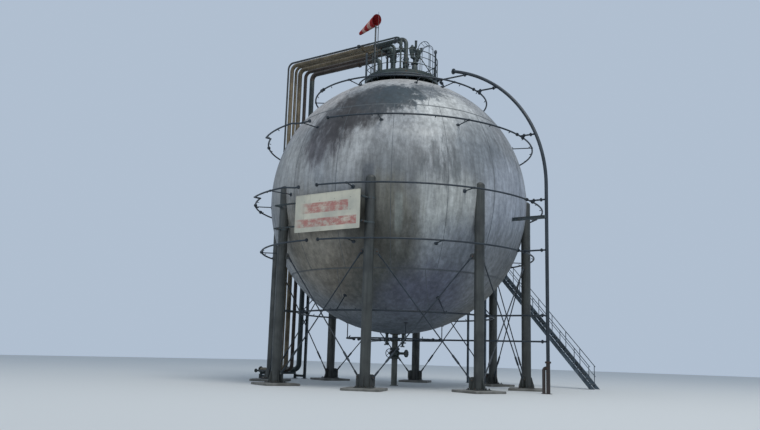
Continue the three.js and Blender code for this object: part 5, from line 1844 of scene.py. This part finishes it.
@dataclass
class Stairs:
    """The straight flight, the landing and the arched stair over the back of the shell."""

    y: float = 8.0
    width: float = 0.75
    foot_x: float = 6.9
    landing_x: float = 0.6
    landing_height: float = 7.3
    landing_inner: float = 7.25
    steps: int = 28
    depth: float = 0.2
    rail_height: float = 1.0
    rail_posts: int = 9
    rail_bar: float = 0.021
    knee_bar: float = 0.017
    post_bar: float = 0.019
    arch_y: float = 0.89
    arch_z: float = 8.43
    arch_radius: float = 6.66
    arch_end: float = 80.5
    arch_width: float = 0.64
    arch_steps: int = 28
    arch_feet: tuple[float, ...] = (4, 24, 46, 66)
    arch_rail: float = 0.9
    arch_rail_start: float = 12.0
    hoops: tuple[tuple[float, float], ...] = ((2.05, 17.97), (2.45, 17.88))
    hoop_x: float = 0.02
    hoop_half: float = 0.34

    def tread(self, centre: Array, wide: float, deep: float) -> Skin:
        """A grating tread with its nosing."""
        return joined(block(centre, (deep, wide, 0.03), edge=0.002),
                      block(centre + point(deep / 2 - 0.01, 0, -0.012), (0.02, wide, 0.045), edge=0.002))

    def flight(self) -> None:
        """Makes the straight flight: two channel stringers and grating treads."""
        run = self.foot_x - self.landing_x
        slope = math.atan2(self.landing_height, run)
        way = point(-math.cos(slope), 0, math.sin(slope))
        foot, head = point(self.foot_x, 0, 0), point(self.landing_x, 0, self.landing_height)
        half = self.depth / 2 / math.cos(slope)
        cut = half / math.tan(slope)
        outline = [[self.foot_x + cut, 0], [self.landing_x + 0.001, self.landing_height + half],
                   [self.landing_x + 0.001, self.landing_height - half], [self.foot_x - cut, 0]]
        size = (float(np.linalg.norm(head - foot)) - 0.22, 0.04, 0.008)
        axes = np.array([way, BACK, np.cross(way, BACK)])
        kit = Kit()
        for side in (-1, 1):
            y = self.y + side * (self.width / 2 + 0.006)
            kit.add(STAIR_PAINT, plate(flat(outline, BACK * (y - 0.004), EAST, UP), BACK * 0.008))
            for edge in (-1, 1):
                lift = point(0, y + side * 0.02, edge * (half - 0.006))
                middle = (foot + head) / 2 + lift + way * (0.03 - edge * 0.03)
                kit.add(STAIR_PAINT, block(middle, size, axes, 0.002))
        for share in np.arange(1, self.steps) / self.steps:
            centre = foot + (head - foot) * share + BACK * self.y
            kit.add(STAIR_GRATING, self.tread(centre, self.width - 0.002, run / self.steps + 0.02))
        kit.build("stair_flight_steel", Slot.STAIR, "stair_flight")

    def flight_rails(self) -> None:
        """Makes the two tube railings of the flight, with an upper bar, a knee bar and posts."""
        run, top = self.foot_x - self.landing_x, self.rail_height
        posts = self.foot_x - 0.15 - (run - 0.3) * np.arange(self.rail_posts) / (self.rail_posts - 1)
        low, high = self.foot_x - 0.1, self.landing_x + 0.1
        for name, side in (("stair_rail_inner", -1), ("stair_rail_outer", 1)):
            y = self.y + side * (self.width / 2 + 0.032)
            bars = [(low, top, high, top, self.rail_bar), (low, top / 2, high, top / 2, self.knee_bar)]
            bars += [(x, -0.06, x, top, self.post_bar) for x in posts]
            kit = Kit()
            for x, rise, end_x, end_rise, radius in bars:
                low_z, high_z = ((self.foot_x - place) / run * self.landing_height for place in (x, end_x))
                kit.add(STAIR_PAINT, rod([x, y, low_z + rise], [end_x, y, high_z + end_rise], radius))
            kit.build(f"{name}_tubes", Slot.STAIR, name)

    def landing(self) -> None:
        """Makes the landing: grating on a frame, two posts, two brackets and a railing on two sides."""
        outer, inner, end = self.y + self.width / 2 + 0.06, self.landing_inner, self.landing_x
        middle, height = (outer + inner) / 2, self.landing_height
        size = (2 * end - 0.02, outer - inner - 0.02, 0.03)
        kit = Kit()
        kit.add(STAIR_GRATING, block(point(0, middle, height - 0.015), size))
        kit.add(STAIR_PAINT,
                *(beam([-end, y, height - 0.05], [end, y, height - 0.05], 0.1, 0.06)
                  for y in (inner + 0.03, outer - 0.03)),
                *(beam([x, inner, height - 0.05], [x, outer, height - 0.05], 0.1, 0.06)
                  for x in (-end + 0.03, end - 0.03)))
        for x in (-end + 0.06, end - 0.06):
            reach = math.sqrt(BALL.reach(height - 0.12) ** 2 - x**2) - 0.02
            kit.add(STAIR_PAINT, beam([x, outer - 0.06, 0], [x, outer - 0.06, height - 0.03], 0.1, 0.1, EAST),
                    block(point(x, outer - 0.06, 0.01), (0.22, 0.12, 0.02)),
                    beam([x, reach, height - 0.12], [x, outer, height - 0.12], 0.14, 0.08))
        corners = [point(-end + 0.03, inner + 0.03, height), point(-end + 0.03, outer - 0.03, height),
                   point(end - 0.03, outer - 0.03, height)]
        posts = corners + [(corners[0] + corners[1]) / 2, (corners[1] + corners[2]) / 2]
        kit.add(STAIR_PAINT,
                *(tube(rounded([c + UP * rise for c in corners], 0.06), radius, UP, 12)
                  for rise, radius in ((1.09, self.rail_bar), (0.575, self.knee_bar))),
                *(rod(c - UP * 0.02, c + UP * 1.09, self.post_bar) for c in posts))
        kit.build("stair_landing_frame", Slot.STAIR, "stair_landing")

    def over(self, elevation: Array | float, reach: float, x: float) -> Array:
        """Points on the arch: (x, centre + reach cos e, centre + reach sin e)."""
        a = np.radians(elevation)
        return np.stack(np.broadcast_arrays(x, self.arch_y + reach * np.cos(a),
                                            self.arch_z + reach * np.sin(a)), axis=-1)

    def arch_side(self, kit: Kit, side: int, start: float) -> None:
        """Adds one stringer of the arched stair with its feet on the shell and its railing.

        Args:
            kit: What it is added to.
            side: 1 or -1.
            start: Elevation of its lower end.
        """
        radius, half, x = self.arch_radius, self.depth / 2, side * (self.arch_width / 2 + 0.004)
        turn = np.linspace(start, self.arch_end, 60)
        section = [(radius - half, x - 0.006), (radius + half, x - 0.006), (radius + half, x + 0.006),
                   (radius - half, x + 0.006)]
        kit.add(STAIR_PAINT, loft(np.stack([self.over(turn, r, at) for r, at in section], axis=1)))
        for elevation in self.arch_feet:
            top = self.over(elevation, radius, x)
            middle = point(x, 0, BALL.height)
            foot = middle + unit(top - middle) * (math.sqrt(BALL.radius**2 - x**2) - 0.01)
            kit.add(STAIR_PAINT, rod(foot, top, 0.034, 14),
                    spun(foot, top - foot, [(0, 0.1), (0.024, 0.1), (0.03, 0.05)], 16))
        rail_x = x + side * 0.022
        turn = np.linspace(self.arch_rail_start - 1, self.arch_end - 2, 60)
        for rise, bar in ((self.arch_rail, self.rail_bar), (self.arch_rail / 2, self.knee_bar)):
            kit.add(STAIR_PAINT, tube(self.over(turn, radius + rise, rail_x), bar, EAST, 12))
        for elevation in np.linspace(self.arch_rail_start, self.arch_end - 3, 10):
            ends = (self.over(elevation, radius + rise, rail_x) for rise in (0, self.arch_rail))
            kit.add(STAIR_PAINT, rod(*ends, self.post_bar))

    def arch(self) -> None:
        """Makes the arched stair: treads, stringers, feet, railings and the hoops over its arrival."""
        drop = self.arch_z - self.landing_height
        start = -math.degrees(math.asin(drop / (self.arch_radius + self.depth / 2)))
        kit = Kit()
        for i in range(1, self.arch_steps):
            centre = self.over(start + (self.arch_end - start) * i / self.arch_steps, self.arch_radius, 0.0)
            kit.add(STAIR_GRATING, block(centre, (self.arch_width, 0.18, 0.03), edge=0.002))
        for side in (-1, 1):
            self.arch_side(kit, side, start)
        kit.add(STAIR_PAINT, *self.cage())
        kit.build("arch_stair_steel", Slot.STAIR, "arch_stair")

    def cage(self) -> list[Skin]:
        """Round-topped hoops on the stringers where the stair arrives, with bars between them.

        Returns:
            The hoops and the bars.
        """
        skins, arcs = [], []
        for y, top in self.hoops:
            foot = self.arch_z + math.sqrt(self.arch_radius**2 - (y - self.arch_y) ** 2)
            crown = point(self.hoop_x, y, top - self.hoop_half)
            arc = crown + self.hoop_half * spokes(np.linspace(math.pi, 0, 25), EAST, UP)
            low = [point(self.hoop_x + side * self.hoop_half, y, foot)[None] for side in (-1, 1)]
            skins.append(tube(np.concatenate([low[0], arc, low[1]]), self.post_bar, BACK, 12))
            arcs.append(arc)
        skins += [rod(arcs[0][i], arcs[1][i], 0.012, 8) for i in (0, 8, 12, 16, 24)]
        return [*skins, rod(arcs[0][0], arcs[0][24], 0.014, 8)]

    def build(self) -> None:
        """Makes the flight, the landing and the arched stair."""
        self.flight()
        self.flight_rails()
        self.landing()
        self.arch()


@dataclass
class SignBoard:
    """The bare board between two legs, in a folded frame on two rails."""

    left: float = -1.15
    right: float = 2.3
    low: float = 6.43
    high: float = 8.05
    y: float = -6.3
    thick: float = 0.03
    rim: float = 0.024
    rail_rise: float = 0.3
    stiffeners: int = 4

    def build(self) -> None:
        """Makes the sheet, the rim round it, the rails behind it and the clamps on the legs."""
        x_middle, z_middle = (self.left + self.right) / 2, (self.low + self.high) / 2
        wide, tall, rim = self.right - self.left, self.high - self.low, self.rim
        rails = self.low + self.rail_rise, self.high - self.rail_rise
        ribs = np.linspace(self.left + 0.5, self.right - 0.5, self.stiffeners)
        kit = Kit()
        kit.add(SIGN_FACE,
                block(point(x_middle, self.y, z_middle), (wide, self.thick - 0.006, tall), edge=0.002),
                *(block(point(x, self.y, z_middle), (rim, self.thick + 0.004, tall))
                  for x in (self.left + rim / 2, self.right - rim / 2)),
                *(block(point(x_middle, self.y, z), (wide, self.thick + 0.004, rim))
                  for z in (self.low + rim / 2, self.high - rim / 2)))
        kit.add(RACK_PAINT, *(block(point(x, self.y + 0.03, z_middle), (0.05, 0.03, tall - 0.1))
                              for x in ribs))
        turn = 180 / Supports.count
        leg_x, leg_y = Supports.circle * sine(turn), -Supports.circle * cosine(turn)
        rail_y, face, r = self.y + self.thick / 2 + 0.04, leg_y - Supports.radius, Supports.radius
        for z in rails:
            kit.add(RACK_PAINT, beam([-leg_x - 0.06, rail_y, z], [leg_x + 0.06, rail_y, z], 0.06, 0.08))
            for x in (-leg_x, leg_x):
                bracket = block(point(x, (rail_y + face) / 2 + 0.01, z), (0.1, face - rail_y + 0.06, 0.06))
                kit.add(RACK_PAINT, bracket, collar(point(x, leg_y, z), UP, r, r + 0.008, 0.06, 40))
        bolts = [point(x, self.y - self.thick / 2, z) for x in ribs for z in (rails[0], z_middle, rails[1])]
        kit.add(BOLT_STEEL, scatter(stud(0.012, 0.004), bolts, axes_along(BACK)))
        kit.build("sign_board_sheet", Slot.BOARD, "sign_board")


@dataclass
class Windsock:
    """The mast, the thin pole clamped to it and the drooping cloth sleeve that turns on the pole."""

    mast: tuple[float, float] = (-1.25, -0.64)
    pole: tuple[float, float] = (-1.14, -0.565)
    mast_top: float = 18.14
    sleeve_top: float = 16.9
    pole_foot: float = 16.3
    neck: float = 18.2
    stop: float = 18.285
    pole_top: float = 18.9
    clamps: tuple[float, ...] = (16.38, 17.1, 18.02)
    mouth: float = 0.3
    tail: float = 0.095
    reach: float = 1.33
    cloth_thick: float = 0.0015
    wire: float = 0.008
    hoop_inset: float = 0.009
    droop: float = 14.0
    lean: float = 20.0
    height: float = 18.5
    offset: float = 0.15
    direction: float = -105.0

    def build_mast(self) -> None:
        """Makes the mast with its thicker foot, its base plate, the pole and the clamps."""
        foot = point(*self.mast, Platform.deck)
        rise, step = self.mast_top - Platform.deck, self.sleeve_top - Platform.deck
        neck, tip = self.neck - self.pole_foot, self.pole_top - self.pole_foot
        column = [(0, 0.06), (step - 0.03, 0.06), (step, 0.044), (rise - 0.02, 0.042), (rise, 0.03)]
        thin = [(0, 0.016), (0.01, 0.02), (neck - 0.02, 0.02), (neck, 0.011), (tip, 0.009)]
        kit = Kit()
        kit.add(MAST_PAINT, spun(foot, UP, column), spun(foot, UP, [(0, 0.12), (0.014, 0.12), (0.02, 0.11)]))
        kit.add(BOLT_STEEL, stud_circle(foot + UP * 0.012, UP, 0.095, 6, 0.014, 0.02))
        kit.add(MAST_PAINT, spun(point(*self.pole, self.pole_foot), UP, thin, 16))
        kit.add(BOLT_STEEL, spun(point(*self.pole, self.stop), UP, [(0, 0.018), (0.004, 0.03), (0.02, 0.03),
                                                                    (0.024, 0.018)], 16))
        for height in self.clamps:
            start, end = point(*self.mast, height), point(*self.pole, height)
            kit.add(MAST_PAINT, rod(start, end, 0.018, 10))
            for place, r in ((start, 0.066 if height < self.sleeve_top else 0.048), (end, 0.026)):
                band = [(0, r - 0.004), (0.004, r), (0.046, r), (0.05, r - 0.004)]
                kit.add(MAST_PAINT, spun(place - UP * 0.025, UP, band, 20))
        kit.build("windsock_mast_tubes", Slot.SLATE, "windsock_mast")

    def directions(self) -> tuple[Array, Array, Array]:
        """The way the wind blows, the level way across it, and the hoop's own up, which leans upwind."""
        wind = outwards(self.direction)
        return wind, point(-wind[1], wind[0], 0), UP * cosine(self.lean) - wind * sine(self.lean)

    def cloth_point(self, around_it: Array, along: Array) -> Array:
        """Points of the sleeve: radius across, and the centre line drooping more towards the tail.

        With s along the sleeve, the centre goes s out and s tan(droop) down, and the radius shrinks evenly
        from mouth to tail. Folds add a ripple of cos(5 t) that grows with s.

        Args:
            around_it: Angle t round the sleeve in radians.
            along: Share s of the length.

        Returns:
            The points.
        """
        wind, side, hoop_up = self.directions()
        ripple = 1 - 0.09 * along * (0.5 + 0.5 * np.cos(5 * around_it + 2.0 * along)) * (1 - 0.3 * along)
        radius = (self.mouth - 0.004 + (self.tail - self.mouth) * along) * ripple
        distance = self.reach * along
        centre = point(*self.pole, self.height) + wind * self.offset
        down = distance * math.tan(math.radians(self.droop))
        across, over = radius * np.cos(around_it), radius * np.sin(around_it)
        return (centre + distance[..., None] * wind - down[..., None] * UP
                + across[..., None] * side + over[..., None] * hoop_up)

    def build_cloth(self) -> None:
        """Makes the sleeve as one sheet of cloth on a grid round and along it."""
        rounds, rows = 72, 49
        turn = np.linspace(0, 2 * np.pi, rounds, endpoint=False)[None]
        along = np.linspace(0, 1, rows)[:, None]
        points = self.cloth_point(*np.broadcast_arrays(turn, along)).reshape(-1, 3) + AXIS
        grid = np.arange(rows * rounds).reshape(rows, rounds)
        beside = np.roll(grid, -1, 1)
        quads = np.stack([grid[:-1], beside[:-1], beside[1:], grid[1:]], -1).reshape(-1, 4)
        mesh = meshed("windsock_cloth", points, quads.tolist(), [SOCK_CLOTH, SOCK_LINING])
        share = mesh.attributes.new("along", "FLOAT", "POINT")
        share.data.foreach_set("value", np.repeat(along.ravel(), rounds).astype(np.float32))
        cloth = placed("windsock_cloth", mesh)
        solid = cloth.modifiers.new("Solidify", "SOLIDIFY")
        solid.thickness, solid.offset, solid.material_offset = self.cloth_thick, 0.0, 1
        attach(cloth, "windsock")
        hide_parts("windsock")
        LOG.info("windsock_cloth: %d faces", len(mesh.polygons))

    def build_hoop(self) -> None:
        """Makes the mouth's wire hoop, its two stays and the sleeve that turns on the pole."""
        wind, side, hoop_up = self.directions()
        pole = point(*self.pole, self.height)
        centre, radius = pole + wind * self.offset, self.mouth - self.hoop_inset
        circle = centre + radius * spokes(np.linspace(0, 2 * np.pi, 60, endpoint=False), side, hoop_up)
        stays = [rod(pole + UP * sign * 0.15 + wind * 0.018, centre + hoop_up * sign * radius, self.wire, 8)
                 for sign in (-1, 1)]
        ring = np.array([[0.012, -0.19], [0.022, -0.19], [0.022, 0.19], [0.012, 0.19]])
        sleeve = loft(around(np.arange(0, 360, 15.0)[:, None], ring[:, 0], ring[:, 1]) + pole, closed=True)
        kit = Kit()
        kit.add(SOCK_FRAME, tube(circle, self.wire, np.cross(side, hoop_up), 10, True), *stays, sleeve)
        kit.build("windsock_hoop", Slot.CLOTH, body="windsock")

    def build(self) -> None:
        """Makes the mast, then the hoop and the cloth on it."""
        self.build_mast()
        self.build_hoop()
        self.build_cloth()


@dataclass
class BottomOutlet:
    """The outlet under the shell: neck, flanges, valve with its wheel, the side branch and the drain nozzles.

    Each nozzle has its azimuth, reach, radius and the height of its end.
    """

    radius: float = 0.15
    bottom: float = 2.41
    branch: float = 1.5
    branch_reach: float = 0.65
    neck_drop: float = 0.25
    valve_foot: float = 1.35
    valve_flanges: tuple[float, float] = (1.3, 1.7)
    nozzles: tuple[tuple[float, float, float, float], ...] = (
        (-92, 0.46, 0.05, 1.98), (-35, 0.42, 0.06, 1.9), (98, 0.4, 0.05, 1.82), (152, 0.46, 0.06, 2.0))

    def build(self) -> None:
        """Makes the outlet from the shell down to the ground, and the nozzles round it."""
        r, bottom, branch = self.radius - 0.01, self.bottom, self.branch * UP
        pipe = [(0, 0.2), (0.03, 0.2), (0.03, r), (bottom + 0.1, r)]
        pad = [(0, r), (0.005, 0.21), (0.03, 0.26), (0.05, 0.26), (0.05, r)]
        body = [(0, r), (0.03, 0.2), (0.08, 0.235), (0.22, 0.235), (0.27, 0.2), (0.3, r)]
        yoke = [(0, 0.1), (0.26, 0.1), (0.28, 0.05), (0.5, 0.04), (0.52, 0.02)]
        end = branch + EAST * self.branch_reach
        kit = Kit()
        kit.add(OUTLET_PAINT, spun(np.zeros(3), UP, pipe, 32), spun((bottom - 0.04) * UP, UP, pad, 40))
        kit.add(DECK_PAINT, flange_pair((bottom - self.neck_drop) * UP, UP, 0.26, 0.08, 12),
                spun(self.valve_foot * UP, UP, body, 32),
                *(flange_pair(height * UP, UP, 0.235, 0.07, 12) for height in self.valve_flanges),
                rod(branch, end, 0.06, 20), flange_pair(end, EAST, 0.18, 0.04), spun(branch, -BACK, yoke, 20))
        kit.add(WHEEL_PAINT, handwheel(branch - 0.46 * BACK, -BACK, 0.2))
        for azimuth, reach, radius, low in self.nozzles:
            top, tip = around(azimuth, reach, BALL.underside(reach) + 0.01), around(azimuth, reach, low)
            kit.add(DECK_PAINT, rod(top, tip, radius, 16), flange_pair(tip, -UP, 2.1 * radius, 0.04, 6),
                    flange_pair(tip + UP * 0.17, UP, 2.1 * radius, 0.05, 6),
                    spun(top, -UP, [(0, 1.8 * radius), (0.03, 1.7 * radius), (0.05, radius)], 16))
        kit.build("bottom_outlet_valve", Slot.PIPE, "bottom_outlet")


@dataclass(frozen=True)
class Lamp:
    """A large soft light: its name, place, aim, size, power and colour."""

    name: str
    place: Colour
    aim: Colour
    size: float
    power: float
    colour: Colour


@dataclass
class Studio:
    """The plain pale floor, the soft lights and the camera at the photograph's viewing angle."""

    eye: tuple[float, float, float] = (20.416, -30.963, 1.3835)
    pan: float = -0.0240
    tilt: float = 0.1808
    roll: float = 0.0293
    turned: float = 33.4
    lens: float = 36.355
    floor_size: float = 160.0
    floor_drop: float = 0.002
    sky: str = "#c3d3e6"
    sky_strength: float = 0.8
    lamps: tuple[Lamp, ...] = (
        Lamp("high_right", (20, -12, 44), (0, 0, 9), 22, 11000, (1.0, 0.98, 0.94)),
        Lamp("low_front", (-12, -46, 14), (0, 0, 7), 22, 1500, (0.95, 0.97, 1.0)),
    )

    def camera(self) -> None:
        """Places the camera: level pan first, then tilt, then roll, all turned to face the tank."""
        forward = point(math.sin(self.pan), math.cos(self.pan), 0)
        right = point(math.cos(self.pan), -math.sin(self.pan), 0)
        ahead = forward * math.cos(self.tilt) + UP * math.sin(self.tilt)
        above = UP * math.cos(self.tilt) - forward * math.sin(self.tilt)
        side = right * math.cos(self.roll) + above * math.sin(self.roll)
        top = above * math.cos(self.roll) - right * math.sin(self.roll)
        s, c = sine(self.turned), cosine(self.turned)
        turn = np.array([[c, -s, 0], [s, c, 0], [0, 0, 1]])
        columns = np.column_stack([turn @ side, turn @ top, turn @ -ahead, np.array(self.eye) + AXIS])
        data = bpy.data.cameras.new("photograph_view")
        data.lens, data.sensor_width, data.clip_end = self.lens, 36.0, 1000.0
        camera = placed("photograph_view", data)
        camera.matrix_world = Matrix([*columns.tolist(), [0, 0, 0, 1]])
        bpy.context.scene.camera = camera

    def floor(self) -> None:
        """Makes the floor, a wide sheet just under the ground's level."""
        half = self.floor_size / 2
        corners = np.array([[-half, -half, 0], [half, -half, 0], [half, half, 0], [-half, half, 0]])
        mesh = bpy.data.meshes.new("studio_floor")
        mesh.from_pydata(corners - UP * self.floor_drop, [], [[0, 1, 2, 3]])
        mesh.materials.append(Graph("studio_floor", 0.9, 0.0).done("#c9cbca"))
        floor = placed("studio_floor", mesh)

    def light(self, lamp: Lamp) -> None:
        """Adds a soft area light that faces its aim.

        Args:
            lamp: The light.
        """
        data = bpy.data.lights.new(lamp.name, "AREA")
        data.shape, data.size, data.energy, data.color = "DISK", lamp.size, lamp.power, lamp.colour
        place = np.array(lamp.place, float)
        columns = np.column_stack([axes_along(place - np.array(lamp.aim)).T, place + AXIS])
        placed(lamp.name, data).matrix_world = Matrix([*columns.tolist(), [0, 0, 0, 1]])

    def build(self) -> None:
        """Makes the floor, the even sky, the lights and the camera."""
        self.floor()
        world = bpy.data.worlds.new("soft_sky")
        world.use_nodes = True
        background = world.node_tree.nodes["Background"]
        background.inputs["Color"].default_value = (*tone(self.sky), 1.0)
        background.inputs["Strength"].default_value = self.sky_strength
        bpy.context.scene.world = world
        bpy.context.scene.view_settings.view_transform = "Standard"
        for lamp in self.lamps:
            self.light(lamp)
        self.camera()


def main() -> None:
    """Builds every sub-assembly in order."""
    logging.basicConfig(level=logging.INFO, format="%(message)s")
    for part in (Shell(), Supports(), SprayPipes(), CrownLines(), Platform(), Stairs(), SignBoard(),
                 Windsock(), BottomOutlet(), Studio()):
        LOG.info("building %s", type(part).__name__)
        part.build()


if __name__ == "__main__":
    main()
